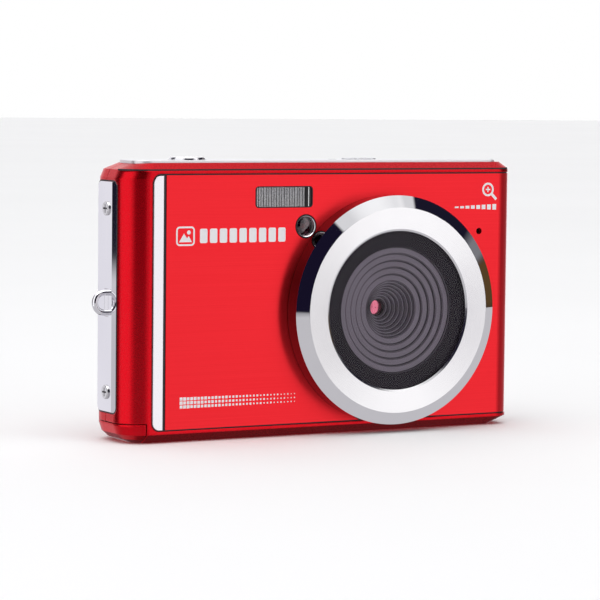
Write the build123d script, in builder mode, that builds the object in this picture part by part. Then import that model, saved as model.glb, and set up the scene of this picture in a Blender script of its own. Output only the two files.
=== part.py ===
from build123d import *
import math
import os

# Compact digital camera. Millimetres, +Z up, lens facing -Y.
# The origin is the mouth of the tripod socket, in the middle of the base.

# Driving dimensions: body
WIDTH = 92.0
DEPTH = 17.0
HEIGHT = 56.1
R_FRONT_LEFT = 5.3
R_REAR_LEFT = 6.5
R_FRONT_RIGHT = 4.0
R_REAR_RIGHT = 4.5
# Outline levels up the body: height, then how far front, rear, left and right are moved inwards
BODY_LEVELS = (
    (0.0, (2.4, 3.2, 3.5, 4.0)),
    (0.8, (1.35, 1.8, 1.7, 2.3)),
    (1.85, (0.0, 0.0, 0.6, 0.0)),
    (3.6, (0.0, 0.0, 0.0, 0.0)),
    (HEIGHT - 3.05, (0.0, 0.0, 0.0, 0.0)),
    (HEIGHT - 1.35, (0.12, 0.6, 0.7, 0.12)),
    (HEIGHT, (2.0, 4.0, 4.0, 2.0)),
)
BEVEL_GROOVE = 0.34
SEAM_Y = 0.2
SEAM_GAP = 0.16
SIDE_WALL = 1.3
FLOOR_TOP = 2.2
CEILING = 54.2
INNER_FRONT = -7.0
INNER_REAR = 7.2

# Driving dimensions: lens
LENS_X = 14.55
LENS_Z = 25.6
RING_R = 23.8
RING_BACK = -8.52
RING_FRONT = -13.4
RING_BORE = 16.5
RING_COLLAR = 17.5
RING_SCREW_R = 20.6

# Driving dimensions: covers
PLATE_LEFT = -36.95
PLATE_BOTTOM = 2.7
PLATE_TOP = 53.7
PLATE_SUNK = 0.12
PLATE_THICK = 0.5
STRIP_LEFT = -39.8
STRIP_RIGHT = -37.5
WRAP_END = -4.75
PLATE_GAP = 0.28
STRIP_CORNER = 1.6
SIDE_HALF_Y = 4.1
SIDE_LEAN = 0.17
SIDE_LEAN_W = 1.7
SIDE_BOTTOM = 6.0
SIDE_TOP = 52.3
SIDE_SCREW_Z = (10.0, 46.9)
TOP_PLATE_TOP = 56.6

# Driving dimensions: openings in the front
FLASH_X = -10.19
FLASH_Z = 49.15
FLASH_W = 13.3
FLASH_H = 4.3
LAMP_X = -5.05
LAMP_Z = 43.1
LAMP_R = 2.45
MIC_X = 37.06
MIC_Z = 41.5

# Driving dimensions: controls
SHUTTER_X = -28.75
SHUTTER_R = 3.75
SHUTTER_SINK = 0.65
POWER_X = 11.5
POWER_W = 7.9
POWER_D = 3.0
POWER_SINK = 0.55
TOP_KEY_Y = -1.2
TOP_KEY_GAP = 0.2
SPEAKER_X = 30.2
SPEAKER_Y = -1.5
KEY_PROUD = 9.0
KEY_R = 2.6
KEY_GAP = 0.2
KEYS = {"mode": (-22, 38), "menu": (-36, 38), "play": (-22, 10.5), "delete": (-36, 10.5)}
NAV_X = -29.0
NAV_Z = 24.0
NAV_R = 8.5
ZOOM_X = -29.0
ZOOM_Z = 47.0
LED_X = -18.0
LED_Z = 44.0

# Driving dimensions: screen
SCREEN_X = 14.0
SCREEN_Z = 28.5
SCREEN_W = 52.0
SCREEN_H = 42.0

# Driving dimensions: battery door
DOOR_TOP = 3.9
DOOR_SEAM_X = -41.2
DOOR_HALF_Y = 5.0
DOOR_PLATE = 1.5
DOOR_GAP = 0.2
HINGE_X = -7.5
HINGE_Z = 1.3
PIN_R = 0.5
FIT = 0.05
FAR = 60.0

# Screw positions that several pieces share
RING_SCREWS = [
    (
        LENS_X + RING_SCREW_R * math.cos(math.radians(a)),
        LENS_Z + RING_SCREW_R * math.sin(math.radians(a)),
    )
    for a in (90, 210, 330)
]
BOARD_SCREWS = [(0.5, 49.5), (40.5, 49.5), (-6.5, 8.6), (40.5, 8.6)]
LUG_SCREWS_X = (22.0, 36.0)
LUG_SCREW_Y = 3.6

# Planes that face forwards, and the half section through the lens axis in (radius, Y)
FRONT = Plane(origin=(0, 0, 0), x_dir=(1, 0, 0), z_dir=(0, -1, 0))
LENS_SECTION = Plane(origin=(LENS_X, 0, LENS_Z), x_dir=(1, 0, 0), z_dir=(0, 0, 1))
LENS_AXIS = Axis((LENS_X, 0, LENS_Z), (0, 1, 0))


def block(x, y, z, mode=Mode.ADD):
    """Rectangular block between the limits of each pair."""
    with Locations(((x[0] + x[1]) / 2, (y[0] + y[1]) / 2, (z[0] + z[1]) / 2)):
        Box(x[1] - x[0], y[1] - y[0], z[1] - z[0], mode=mode)


def bar_y(x, z, radius, y, mode=Mode.ADD):
    """Round bar along Y between the limits of the pair y."""
    with Locations(Location((x, (y[0] + y[1]) / 2, z), (90, 0, 0))):
        Cylinder(radius, y[1] - y[0], mode=mode)


def bar_x(y, z, radius, x, mode=Mode.ADD):
    """Round bar along X between the limits of the pair x."""
    with Locations(Location(((x[0] + x[1]) / 2, y, z), (0, 90, 0))):
        Cylinder(radius, x[1] - x[0], mode=mode)


def bar_z(x, y, radius, z, mode=Mode.ADD):
    """Round bar along Z between the limits of the pair z."""
    with Locations((x, y, (z[0] + z[1]) / 2)):
        Cylinder(radius, z[1] - z[0], mode=mode)


def tile(x, z, width, height, corner, y):
    """Plate with rounded corners that faces along Y, between the limits of y."""
    with BuildPart() as plate:
        with BuildSketch(FRONT.offset(-y[1])):
            with Locations((x, z)):
                RectangleRounded(width, height, corner)
        extrude(amount=y[1] - y[0])
    return plate.part


def side_tile(x, y_size, z, corner):
    """Plate with rounded corners that faces along X, between the limits x and z."""
    with BuildPart() as plate:
        with BuildSketch(Plane.YZ.offset(x[0])):
            with Locations((0, (z[0] + z[1]) / 2)):
                RectangleRounded(y_size, z[1] - z[0], corner)
        extrude(amount=x[1] - x[0])
    return plate.part


def lean_cut(side):
    """Wedge that leans the front margin of a side plate inwards; side is -1 left, 1 right."""
    face_x = side * (WIDTH / 2 + 0.1)
    front_y = -SIDE_HALF_Y
    with BuildPart() as wedge:
        with BuildSketch(Plane.XY.offset(SIDE_BOTTOM - 1)):
            with BuildLine():
                Polyline(
                    (face_x, front_y + SIDE_LEAN_W),
                    (face_x - side * SIDE_LEAN, front_y),
                    (face_x - side * SIDE_LEAN, front_y - 1),
                    (face_x + side, front_y - 1),
                    (face_x + side, front_y + SIDE_LEAN_W),
                    close=True,
                )
            make_face()
        extrude(amount=SIDE_TOP - SIDE_BOTTOM + 2)
    return wedge.part


def body_plan(front, rear, left, right):
    """Plan outline of the body, with each side moved inwards by its amount."""
    x0, x1 = left - WIDTH / 2, WIDTH / 2 - right
    y0, y1 = front - DEPTH / 2, DEPTH / 2 - rear
    smallest = 0.6
    radii = [
        max(R_FRONT_LEFT - min(front, left), smallest),
        max(R_FRONT_RIGHT - min(front, right), smallest),
        max(R_REAR_RIGHT - min(rear, right), smallest),
        max(R_REAR_LEFT - min(rear, left), smallest),
    ]
    with BuildSketch() as plan:
        with BuildLine():
            Line((x0 + radii[0], y0), (x1 - radii[1], y0))
            RadiusArc((x1 - radii[1], y0), (x1, y0 + radii[1]), -radii[1])
            Line((x1, y0 + radii[1]), (x1, y1 - radii[2]))
            RadiusArc((x1, y1 - radii[2]), (x1 - radii[2], y1), -radii[2])
            Line((x1 - radii[2], y1), (x0 + radii[3], y1))
            RadiusArc((x0 + radii[3], y1), (x0, y1 - radii[3]), -radii[3])
            Line((x0, y1 - radii[3]), (x0, y0 + radii[0]))
            RadiusArc((x0, y0 + radii[0]), (x0 + radii[0], y0), -radii[0])
        make_face()
    return plan.sketch


def envelope():
    """Outside of both shells together: a rounded bar with bevelled base and stepped top bevel."""
    with BuildPart() as outside:
        for (z0, insets0), (z1, insets1) in zip(BODY_LEVELS, BODY_LEVELS[1:]):
            with BuildSketch(Plane.XY.offset(z0)):
                add(body_plan(*insets0))
            if insets0 == insets1:
                extrude(amount=z1 - z0)
            else:
                with BuildSketch(Plane.XY.offset(z1)):
                    add(body_plan(*insets1))
                loft(ruled=True)
    return outside.part


def cavity(z0, z1):
    """Inside space of the shells between two heights."""
    with BuildPart() as space:
        with BuildSketch(Plane.XY.offset(z0)):
            front = DEPTH / 2 + INNER_FRONT
            rear = DEPTH / 2 - INNER_REAR
            add(body_plan(front, rear, SIDE_WALL, SIDE_WALL))
        extrude(amount=z1 - z0)
    return space.part


def skin(outer, inner, x, y, z):
    """Sheet that follows the body's plan between two insets, cut to a range in X and Y."""
    with BuildPart() as sheet:
        with BuildSketch(Plane.XY.offset(z[0])):
            add(body_plan(outer, outer, outer, outer))
            add(body_plan(inner, inner, inner, inner), mode=Mode.SUBTRACT)
            with Locations(((x[0] + x[1]) / 2, (y[0] + y[1]) / 2)):
                Rectangle(x[1] - x[0], y[1] - y[0], mode=Mode.INTERSECT)
        extrude(amount=z[1] - z[0])
    return sheet.part


def door_zone(gap):
    """Space of the battery door: the body's lower left end and a plate in the base."""
    with BuildPart() as zone:
        block((-FAR, DOOR_SEAM_X + gap), (-FAR, FAR), (-FAR, DOOR_TOP + gap))
        block((-FAR, HINGE_X), (-DOOR_HALF_Y - gap, DOOR_HALF_Y + gap), (-FAR, DOOR_PLATE + gap))
    return zone.part


def lens_disc(radius, y, bulge):
    """Round lens whose front and rear faces bulge by the amount."""
    sphere_r = (radius ** 2 + bulge ** 2) / (2 * bulge)
    with BuildPart() as disc:
        with BuildSketch(LENS_SECTION):
            with BuildLine():
                Line((0, y[0] - bulge), (0, y[1] + bulge))
                RadiusArc((0, y[1] + bulge), (radius, y[1]), sphere_r)
                Line((radius, y[1]), (radius, y[0]))
                RadiusArc((radius, y[0]), (0, y[0] - bulge), sphere_r)
            make_face()
        revolve(axis=LENS_AXIS)
    return disc.part


def turned(points):
    """Solid of revolution about the lens axis, from its outline in (radius, Y)."""
    with BuildPart() as solid:
        with BuildSketch(LENS_SECTION):
            with BuildLine():
                Polyline(*points, close=True)
            make_face()
        revolve(axis=LENS_AXIS)
    return solid.part


# Openings that both shells share

with BuildPart() as shell_openings:
    # Battery door with its hinge pin slots
    add(door_zone(DOOR_GAP))
    door_half = DOOR_HALF_Y + DOOR_GAP
    block((-FAR, HINGE_X + 1.5), (-door_half, door_half), (-FAR, FLOOR_TOP + 1))
    block(
        (HINGE_X - PIN_R - FIT - 2, HINGE_X + PIN_R + FIT),
        (-5.8, 5.8),
        (HINGE_Z - PIN_R - FIT, FLOOR_TOP + 1),
    )
    # Pockets of the two side plates
    for side in (-1, 1):
        pocket = sorted((side * (WIDTH / 2 - 0.42), side * FAR))
        pocket_z = (SIDE_BOTTOM - PLATE_GAP, SIDE_TOP + PLATE_GAP)
        add(side_tile(pocket, 2 * (SIDE_HALF_Y + PLATE_GAP), pocket_z, 1.2 + PLATE_GAP))
    # Pocket of the top plate, and the holes for both top keys
    with BuildSketch(Plane.XY.offset(HEIGHT - 0.3)):
        add(body_plan(2.1, 4.1, 3.6, 3.1))
    extrude(amount=3)
    bar_z(SHUTTER_X, TOP_KEY_Y, 3.3, (CEILING - 1, HEIGHT))
    bar_z(SHUTTER_X, TOP_KEY_Y, SHUTTER_R + TOP_KEY_GAP, (HEIGHT - SHUTTER_SINK, HEIGHT))
    block((POWER_X - 3.6, POWER_X + 3.6), (TOP_KEY_Y - 1.2, TOP_KEY_Y + 1.2), (CEILING - 1, HEIGHT))
    with BuildSketch(Plane.XY.offset(HEIGHT - POWER_SINK)):
        with Locations((POWER_X, TOP_KEY_Y)):
            SlotOverall(POWER_W + TOP_KEY_GAP, POWER_D + TOP_KEY_GAP)
    extrude(amount=2)
    # Data port in the right end, strap lug in the left end
    block((43, FAR), (-0.3, 2.95), (17.65, 25.95))
    block((-FAR, -43), (-1.1, 1.1), (25.0, 31.0))
    # Speaker holes
    for step in range(-2, 3):
        bar_z(SPEAKER_X + 1.6 * step, SPEAKER_Y, 0.45, (CEILING - 1, HEIGHT))

# Casing

with BuildPart() as front_shell:
    add(envelope())
    add(cavity(FLOOR_TOP, CEILING), mode=Mode.SUBTRACT)
    block((-FAR, FAR), (SEAM_Y - SEAM_GAP / 2, FAR), (-1, FAR), mode=Mode.SUBTRACT)
    # The rear shell reaches forwards round the tripod socket
    block((-5.56, 5.56), (-4.96, FAR), (-1, FLOOR_TOP + 0.05), mode=Mode.SUBTRACT)
    # Decorative groove along the foot of the top bevel
    groove_z = (HEIGHT - 1.35 - BEVEL_GROOVE / 2, HEIGHT - 1.35 + BEVEL_GROOVE / 2)
    add(skin(-1, BEVEL_GROOVE, (-FAR, FAR), (-FAR, -3), groove_z), mode=Mode.SUBTRACT)
    # Sunk face for the faceplate and the accent strip
    sunk = PLATE_SUNK + PLATE_THICK + 0.03
    recess_z = (PLATE_BOTTOM - PLATE_GAP, PLATE_TOP + PLATE_GAP)
    add(skin(-1, sunk, (STRIP_RIGHT, FAR), (-FAR, WRAP_END + 0.1), recess_z), mode=Mode.SUBTRACT)
    strip_mid_z = (recess_z[0] + recess_z[1]) / 2
    strip_w = 2 * (STRIP_RIGHT + 2 - STRIP_LEFT)
    strip_x = STRIP_LEFT - PLATE_GAP + strip_w / 2
    strip_h = recess_z[1] - recess_z[0]
    recess_y = (-9, sunk - DEPTH / 2)
    corner = STRIP_CORNER + PLATE_GAP
    add(tile(strip_x, strip_mid_z, strip_w, strip_h, corner, recess_y), mode=Mode.SUBTRACT)
    # Posts for the main board and lugs that reach over the rear shell's floor
    for x, z in BOARD_SCREWS:
        bar_y(x, z, 1.8, (INNER_FRONT - 0.2, 2.66))
        bar_y(x, z, 0.62, (-3.0, 2.7), mode=Mode.SUBTRACT)
    for x in LUG_SCREWS_X:
        block((x - 1.7, x + 1.7), (INNER_FRONT - 0.2, 5.4), (FLOOR_TOP + 0.05, 6.0))
        bar_z(x, LUG_SCREW_Y, 0.62, (2, 5.4), mode=Mode.SUBTRACT)
    # Bosses of the side screws, behind the side plates
    for side in (-1, 1):
        for z in SIDE_SCREW_Z:
            block(sorted((side * 43.6, side * 45.0)), (-2.6, 2.0), (z - 2.2, z + 2.2))
    add(shell_openings.part, mode=Mode.SUBTRACT)
    for side in (-1, 1):
        for z in SIDE_SCREW_Z:
            block(sorted((side * 44.6, side * 45.56)), (-2.6, 2.0), (z - 2.2, z + 2.2))
            bar_x(0, z, 0.62, sorted((side * 43, side * 47)), mode=Mode.SUBTRACT)
    # Lens, flash, self-timer lamp and microphone openings
    bar_y(LENS_X, LENS_Z, RING_COLLAR + 0.1, (-9, -6), mode=Mode.SUBTRACT)
    for x, z in RING_SCREWS:
        bar_y(x, z, 0.7, (-9, -6), mode=Mode.SUBTRACT)
    window = tile(FLASH_X, FLASH_Z, FLASH_W + 0.1, FLASH_H + 0.1, 0.8, (-9, -6))
    add(window, mode=Mode.SUBTRACT)
    bar_y(LAMP_X, LAMP_Z, LAMP_R + FIT, (-9, -6), mode=Mode.SUBTRACT)
    bar_y(MIC_X, MIC_Z, 0.7, (-9, -6), mode=Mode.SUBTRACT)
front_shell.part.label = "front_shell"
export_step(front_shell.part, "parts/front_shell.step")

with BuildPart() as rear_shell:
    add(envelope())
    add(cavity(FLOOR_TOP, CEILING), mode=Mode.SUBTRACT)
    block((-FAR, FAR), (-FAR, SEAM_Y + SEAM_GAP / 2), (-1, FAR), mode=Mode.SUBTRACT)
    block((-5.5, 5.5), (-4.9, 1), (0, FLOOR_TOP))
    bar_z(0, 0, 3.95, (-1, 3), mode=Mode.SUBTRACT)
    for x in LUG_SCREWS_X:
        bar_z(x, LUG_SCREW_Y, 0.75, (-1, 3), mode=Mode.SUBTRACT)
        bar_z(x, LUG_SCREW_Y, 1.35, (-1, 0.75), mode=Mode.SUBTRACT)
    add(shell_openings.part, mode=Mode.SUBTRACT)
    for side in (-1, 1):
        for z in SIDE_SCREW_Z:
            notch_x = sorted((side * 43, side * 46))
            block(notch_x, (-1, 2.05), (z - 2.25, z + 2.25), mode=Mode.SUBTRACT)
    # Screen window ledge and the view through it
    recess = tile(SCREEN_X, SCREEN_Z, SCREEN_W + 0.1, SCREEN_H + 0.1, 1.55, (7.68, 9))
    add(recess, mode=Mode.SUBTRACT)
    add(tile(SCREEN_X, SCREEN_Z, 49.4, 37.4, 0.5, (6, 9)), mode=Mode.SUBTRACT)
    # Holes for the keys on the back
    for x, z in KEYS.values():
        bar_y(x, z, KEY_R + KEY_GAP, (6, 9), mode=Mode.SUBTRACT)
    bar_y(NAV_X, NAV_Z, NAV_R + 0.25, (6, 9), mode=Mode.SUBTRACT)
    add(tile(ZOOM_X, ZOOM_Z, 14.5, 4.5, 2.2, (6, 9)), mode=Mode.SUBTRACT)
    bar_y(LED_X, LED_Z, 0.85, (6, 9), mode=Mode.SUBTRACT)
rear_shell.part.label = "rear_shell"
export_step(rear_shell.part, "parts/rear_shell.step")

with BuildPart() as faceplate:
    inner = PLATE_SUNK + PLATE_THICK
    span_z = (PLATE_BOTTOM, PLATE_TOP)
    add(skin(PLATE_SUNK, inner, (PLATE_LEFT, FAR), (-FAR, WRAP_END), span_z))
    bar_y(LENS_X, LENS_Z, RING_COLLAR + 0.1, (-9, -6), mode=Mode.SUBTRACT)
    for x, z in RING_SCREWS:
        bar_y(x, z, 0.7, (-9, -6), mode=Mode.SUBTRACT)
    window = tile(FLASH_X, FLASH_Z, FLASH_W + 0.1, FLASH_H + 0.1, 0.8, (-9, -6))
    add(window, mode=Mode.SUBTRACT)
    bar_y(LAMP_X, LAMP_Z, LAMP_R + FIT, (-9, -6), mode=Mode.SUBTRACT)
    bar_y(MIC_X, MIC_Z, 0.68, (-9, -6), mode=Mode.SUBTRACT)
faceplate.part.label = "faceplate"
export_step(faceplate.part, "parts/faceplate.step")

with BuildPart() as accent_strip:
    block((STRIP_LEFT, STRIP_RIGHT), (-8.43, -7.88), (2.65, 53.6))
    fillet(accent_strip.edges().filter_by(Axis.Y).group_by(Axis.X)[0], STRIP_CORNER)
    fillet(accent_strip.faces().sort_by(Axis.Y)[0].edges(), 0.12)
accent_strip.part.label = "accent_strip"
export_step(accent_strip.part, "parts/accent_strip.step")

with BuildPart() as side_plate_left:
    add(side_tile((-46.1, -45.6), 2 * SIDE_HALF_Y, (SIDE_BOTTOM, SIDE_TOP), 1.2))
    for z in SIDE_SCREW_Z:
        bar_x(0, z, 0.75, (-47, -45), mode=Mode.SUBTRACT)
    block((-47, -45), (-0.85, 0.85), (25.2, 30.8), mode=Mode.SUBTRACT)
    fillet(side_plate_left.faces().sort_by(Axis.X)[0].outer_wire().edges(), 0.15)
    add(lean_cut(-1), mode=Mode.SUBTRACT)
side_plate_left.part.label = "side_plate_left"
export_step(side_plate_left.part, "parts/side_plate_left.step")

with BuildPart() as side_plate_right:
    add(side_tile((45.6, 46.1), 2 * SIDE_HALF_Y, (SIDE_BOTTOM, SIDE_TOP), 1.2))
    for z in SIDE_SCREW_Z:
        bar_x(0, z, 0.75, (45, 47), mode=Mode.SUBTRACT)
    block((45, 47), (-0.2, 2.85), (17.8, 25.8), mode=Mode.SUBTRACT)
    fillet(side_plate_right.faces().sort_by(Axis.X)[-1].outer_wire().edges(), 0.15)
    add(lean_cut(1), mode=Mode.SUBTRACT)
side_plate_right.part.label = "side_plate_right"
export_step(side_plate_right.part, "parts/side_plate_right.step")

with BuildPart() as top_plate:
    with BuildSketch(Plane.XY.offset(HEIGHT - 0.28)):
        add(body_plan(2.2, 4.2, 3.7, 3.2))
    extrude(amount=TOP_PLATE_TOP - HEIGHT + 0.28)
    fillet(top_plate.faces().sort_by(Axis.Z)[-1].edges(), 0.2)
    bar_z(SHUTTER_X, TOP_KEY_Y, SHUTTER_R + TOP_KEY_GAP, (HEIGHT - 1, 58), mode=Mode.SUBTRACT)
    with BuildSketch(Plane.XY.offset(HEIGHT - 1)):
        with Locations((POWER_X, TOP_KEY_Y)):
            SlotOverall(POWER_W + TOP_KEY_GAP, POWER_D + TOP_KEY_GAP)
    extrude(amount=3, mode=Mode.SUBTRACT)
    for step in range(-2, 3):
        bar_z(SPEAKER_X + 1.6 * step, SPEAKER_Y, 0.45, (HEIGHT - 1, 58), mode=Mode.SUBTRACT)
top_plate.part.label = "top_plate"
export_step(top_plate.part, "parts/top_plate.step")

with BuildPart() as strap_lug:
    # Wire loop: two legs and a half round, standing out of a block flush with the side plate
    lug_y, lug_z = 0.0, 28.0
    leg_z, wire_r, straight_x = 2.0, 0.62, -46.66
    with BuildLine() as loop_path:
        Line((-44.4, lug_y, lug_z - leg_z), (straight_x, lug_y, lug_z - leg_z))
        tip = (straight_x - leg_z, lug_y, lug_z)
        ThreePointArc((straight_x, lug_y, lug_z - leg_z), tip, (straight_x, lug_y, lug_z + leg_z))
        Line((straight_x, lug_y, lug_z + leg_z), (-44.4, lug_y, lug_z + leg_z))
    with BuildSketch(Plane(origin=(-44.4, lug_y, lug_z - leg_z), z_dir=(-1, 0, 0))):
        Circle(wire_r)
    sweep()
    block((-44.62, -44.0), (-1.05, 1.05), (24.6, 31.4))
    block((-46.1, -44.0), (-0.8, 0.8), (25.25, 30.75))
strap_lug.part.label = "strap_lug"
export_step(strap_lug.part, "parts/strap_lug.step")

with BuildPart() as side_screws:
    for side in (-1, 1):
        for z in SIDE_SCREW_Z:
            bar_x(0, z, 0.6, sorted((side * 43.9, side * 46.15)))
            bar_x(0, z, 1.45, sorted((side * 46.12, side * 46.5)))
    fillet(side_screws.edges().filter_by(GeomType.CIRCLE).group_by(Axis.X)[0], 0.2)
    fillet(side_screws.edges().filter_by(GeomType.CIRCLE).group_by(Axis.X)[-1], 0.2)
    for side in (-1, 1):
        for z in SIDE_SCREW_Z:
            slot_x = sorted((side * 46.3, side * 46.6))
            block(slot_x, (-0.9, 0.9), (z - 0.17, z + 0.17), mode=Mode.SUBTRACT)
            block(slot_x, (-0.17, 0.17), (z - 0.9, z + 0.9), mode=Mode.SUBTRACT)
side_screws.part.label = "side_screws"
export_step(side_screws.part, "parts/side_screws.step")

with BuildPart() as bottom_screws:
    for x in LUG_SCREWS_X:
        bar_z(x, LUG_SCREW_Y, 0.6, (0.6, 5.2))
        bar_z(x, LUG_SCREW_Y, 1.25, (0.1, 0.72))
        block((x - 0.8, x + 0.8), (LUG_SCREW_Y - 0.16, LUG_SCREW_Y + 0.16), (0, 0.4), Mode.SUBTRACT)
        block((x - 0.16, x + 0.16), (LUG_SCREW_Y - 0.8, LUG_SCREW_Y + 0.8), (0, 0.4), Mode.SUBTRACT)
bottom_screws.part.label = "bottom_screws"
export_step(bottom_screws.part, "parts/bottom_screws.step")

with BuildPart() as inner_screws:
    for x, z in RING_SCREWS:
        bar_y(x, z, 0.6, (-10.4, -6.9))
        bar_y(x, z, 1.25, (-6.98, -6.4))
    for x, z in BOARD_SCREWS:
        bar_y(x, z, 0.6, (-1.5, 3.7))
        bar_y(x, z, 1.3, (3.62, 4.1))
inner_screws.part.label = "inner_screws"
export_step(inner_screws.part, "parts/inner_screws.step")

with BuildPart() as tripod_bush:
    bar_z(0, 0, 3.9, (0, 6.5))
    bar_z(0, 0, 5.2, (FLOOR_TOP + 0.05, 3.2))
    bar_z(0, 0, 2.55, (-1, 5.5), mode=Mode.SUBTRACT)
tripod_bush.part.label = "tripod_bush"
export_step(tripod_bush.part, "parts/tripod_bush.step")

# Lens

with BuildPart() as lens_ring:
    ring_outline = [
        (RING_R, RING_BACK),
        (RING_R, -12.1),
        (21.3, RING_FRONT),
        (16.9, -13.05),
        (RING_BORE, -12.85),
        (RING_BORE, -11.0),
        (15.5, -11.0),
        (15.5, -7.1),
        (RING_COLLAR, -7.1),
        (RING_COLLAR, RING_BACK),
    ]
    add(turned(ring_outline))
    # Hollow back with three screw bosses
    hollow = [(18.9, RING_BACK + 1), (22.6, RING_BACK + 1), (22.6, -11.4), (18.9, -11.4)]
    add(turned(hollow), mode=Mode.SUBTRACT)
    for x, z in RING_SCREWS:
        bar_y(x, z, 1.6, (-11.6, RING_BACK))
        bar_y(x, z, 0.62, (-10.6, RING_BACK + 1), mode=Mode.SUBTRACT)
    chamfer_edge = lens_ring.edges().filter_by(GeomType.CIRCLE).group_by(Axis.Y)[0]
    fillet(chamfer_edge, 0.15)
lens_ring.part.label = "lens_ring"
export_step(lens_ring.part, "parts/lens_ring.step")

with BuildPart() as lens_window:
    bar_y(LENS_X, LENS_Z, RING_BORE - FIT, (-12.85, -12.05))
lens_window.part.label = "lens_window"
export_step(lens_window.part, "parts/lens_window.step")

with BuildPart() as lens_mask:
    bar_y(LENS_X, LENS_Z, RING_BORE - FIT, (-12.04, -11.92))
    bar_y(LENS_X, LENS_Z, 13.15, (-13, -11), mode=Mode.SUBTRACT)
lens_mask.part.label = "lens_mask"
export_step(lens_mask.part, "parts/lens_mask.step")

with BuildPart() as lens_baffle:
    # Stepped cone: five broad steps, then seven narrow ones down to the lens
    broad = [(13.15 - 1.45 * i, -11.9 + 0.4 * i) for i in range(6)]
    narrow = [(5.9 - 0.586 * i, -9.9 + 0.76 * i) for i in range(1, 8)]
    steps = broad + narrow
    inside = []
    for (r, y), (next_r, next_y) in zip(steps, steps[1:]):
        inside += [(r, y), (r, next_y)]
    inside.append(steps[-1])
    back = [(steps[-1][0], -4.1), (3.1, -4.1), (3.1, -5.0), (6.8, -9.2), (14.0, -11.04)]
    rim = [(RING_BORE - FIT, -11.04), (RING_BORE - FIT, -11.9)]
    add(turned(inside + back + rim))
lens_baffle.part.label = "lens_baffle"
export_step(lens_baffle.part, "parts/lens_baffle.step")

with BuildPart() as lens_barrel:
    bar_y(LENS_X, LENS_Z, 5.5, (-3.9, 0.55))
    bar_y(LENS_X, LENS_Z, 1.55, (-4, 1), mode=Mode.SUBTRACT)
    bar_y(LENS_X, LENS_Z, 3.0, (-3.6, 1), mode=Mode.SUBTRACT)
    bar_y(LENS_X, LENS_Z, 3.6, (-1.3, 1), mode=Mode.SUBTRACT)
    chamfer(lens_barrel.faces().sort_by(Axis.Y)[0].outer_wire().edges(), 0.3)
lens_barrel.part.label = "lens_barrel"
export_step(lens_barrel.part, "parts/lens_barrel.step")

with BuildPart() as lens_element_front:
    add(lens_disc(2.95, (-3.2, -2.2), 0.35))
lens_element_front.part.label = "lens_element_front"
export_step(lens_element_front.part, "parts/lens_element_front.step")

with BuildPart() as lens_element_rear:
    add(lens_disc(3.55, (-0.8, 0.1), 0.3))
lens_element_rear.part.label = "lens_element_rear"
export_step(lens_element_rear.part, "parts/lens_element_rear.step")

with BuildPart() as lens_holder:
    block((LENS_X - 7, LENS_X + 7), (0.6, 2.66), (LENS_Z - 7, LENS_Z + 7))
    bar_y(LENS_X, LENS_Z, 6.6, (-2.4, 0.7))
    bar_y(LENS_X, LENS_Z, 5.53, (-3, 0.6), mode=Mode.SUBTRACT)
    block((LENS_X - 3, LENS_X + 3), (0, 3), (LENS_Z - 3, LENS_Z + 3), mode=Mode.SUBTRACT)
    block((LENS_X - 5.2, LENS_X + 5.2), (0.95, 3), (LENS_Z - 5.2, LENS_Z + 5.2), mode=Mode.SUBTRACT)
lens_holder.part.label = "lens_holder"
export_step(lens_holder.part, "parts/lens_holder.step")

with BuildPart() as ir_filter:
    block((LENS_X - 4, LENS_X + 4), (0.97, 1.27), (LENS_Z - 4, LENS_Z + 4))
ir_filter.part.label = "ir_filter"
export_step(ir_filter.part, "parts/ir_filter.step")

with BuildPart() as image_sensor:
    block((LENS_X - 4.5, LENS_X + 4.5), (1.8, 2.66), (LENS_Z - 4.2, LENS_Z + 4.2))
    block((LENS_X - 3.3, LENS_X + 3.3), (1.7, 2.0), (LENS_Z - 2.6, LENS_Z + 2.6))
image_sensor.part.label = "image_sensor"
export_step(image_sensor.part, "parts/image_sensor.step")

# Flash and self-timer lamp

with BuildPart() as flash_window:
    add(tile(FLASH_X, FLASH_Z, FLASH_W, FLASH_H, 0.75, (-8.42, -6.8)))
    add(tile(FLASH_X, FLASH_Z, FLASH_W + 1.6, FLASH_H + 1.6, 1.2, (-6.95, -6.45)))
flash_window.part.label = "flash_window"
export_step(flash_window.part, "parts/flash_window.step")

with BuildPart() as flash_reflector:
    reflector_x = (FLASH_X - 7.2, FLASH_X + 7.2)
    block(reflector_x, (-6.4, -1.6), (FLASH_Z - 2.7, FLASH_Z + 2.7))
    trough = Plane(origin=(FLASH_X - 6.6, -6.5, FLASH_Z), x_dir=(0, 1, 0), z_dir=(1, 0, 0))
    with BuildSketch(trough):
        with BuildLine():
            Line((0, -2.2), (0, 2.2))
            Spline((0, 2.2), (3.0, 1.65), (4.3, 0), (3.0, -1.65), (0, -2.2))
        make_face()
    extrude(amount=13.2, mode=Mode.SUBTRACT)
    bar_x(-3.9, FLASH_Z, 1.0, (FLASH_X - 9, FLASH_X + 9), mode=Mode.SUBTRACT)
flash_reflector.part.label = "flash_reflector"
export_step(flash_reflector.part, "parts/flash_reflector.step")

with BuildPart() as flash_tube:
    bar_x(-3.9, FLASH_Z, 0.95, (FLASH_X - 7.9, FLASH_X + 7.9))
    bar_x(-3.9, FLASH_Z, 0.3, (FLASH_X - 8.8, FLASH_X + 8.8))
flash_tube.part.label = "flash_tube"
export_step(flash_tube.part, "parts/flash_tube.step")

with BuildPart() as flash_capacitor:
    bar_z(-5.2, -2.6, 3.75, (12, 37))
    fillet(flash_capacitor.edges().filter_by(GeomType.CIRCLE), 0.5)
    for side in (-1, 1):
        bar_z(-5.2 + 1.5 * side, -2.6, 0.3, (10.8, 12.1))
flash_capacitor.part.label = "flash_capacitor"
export_step(flash_capacitor.part, "parts/flash_capacitor.step")

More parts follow.
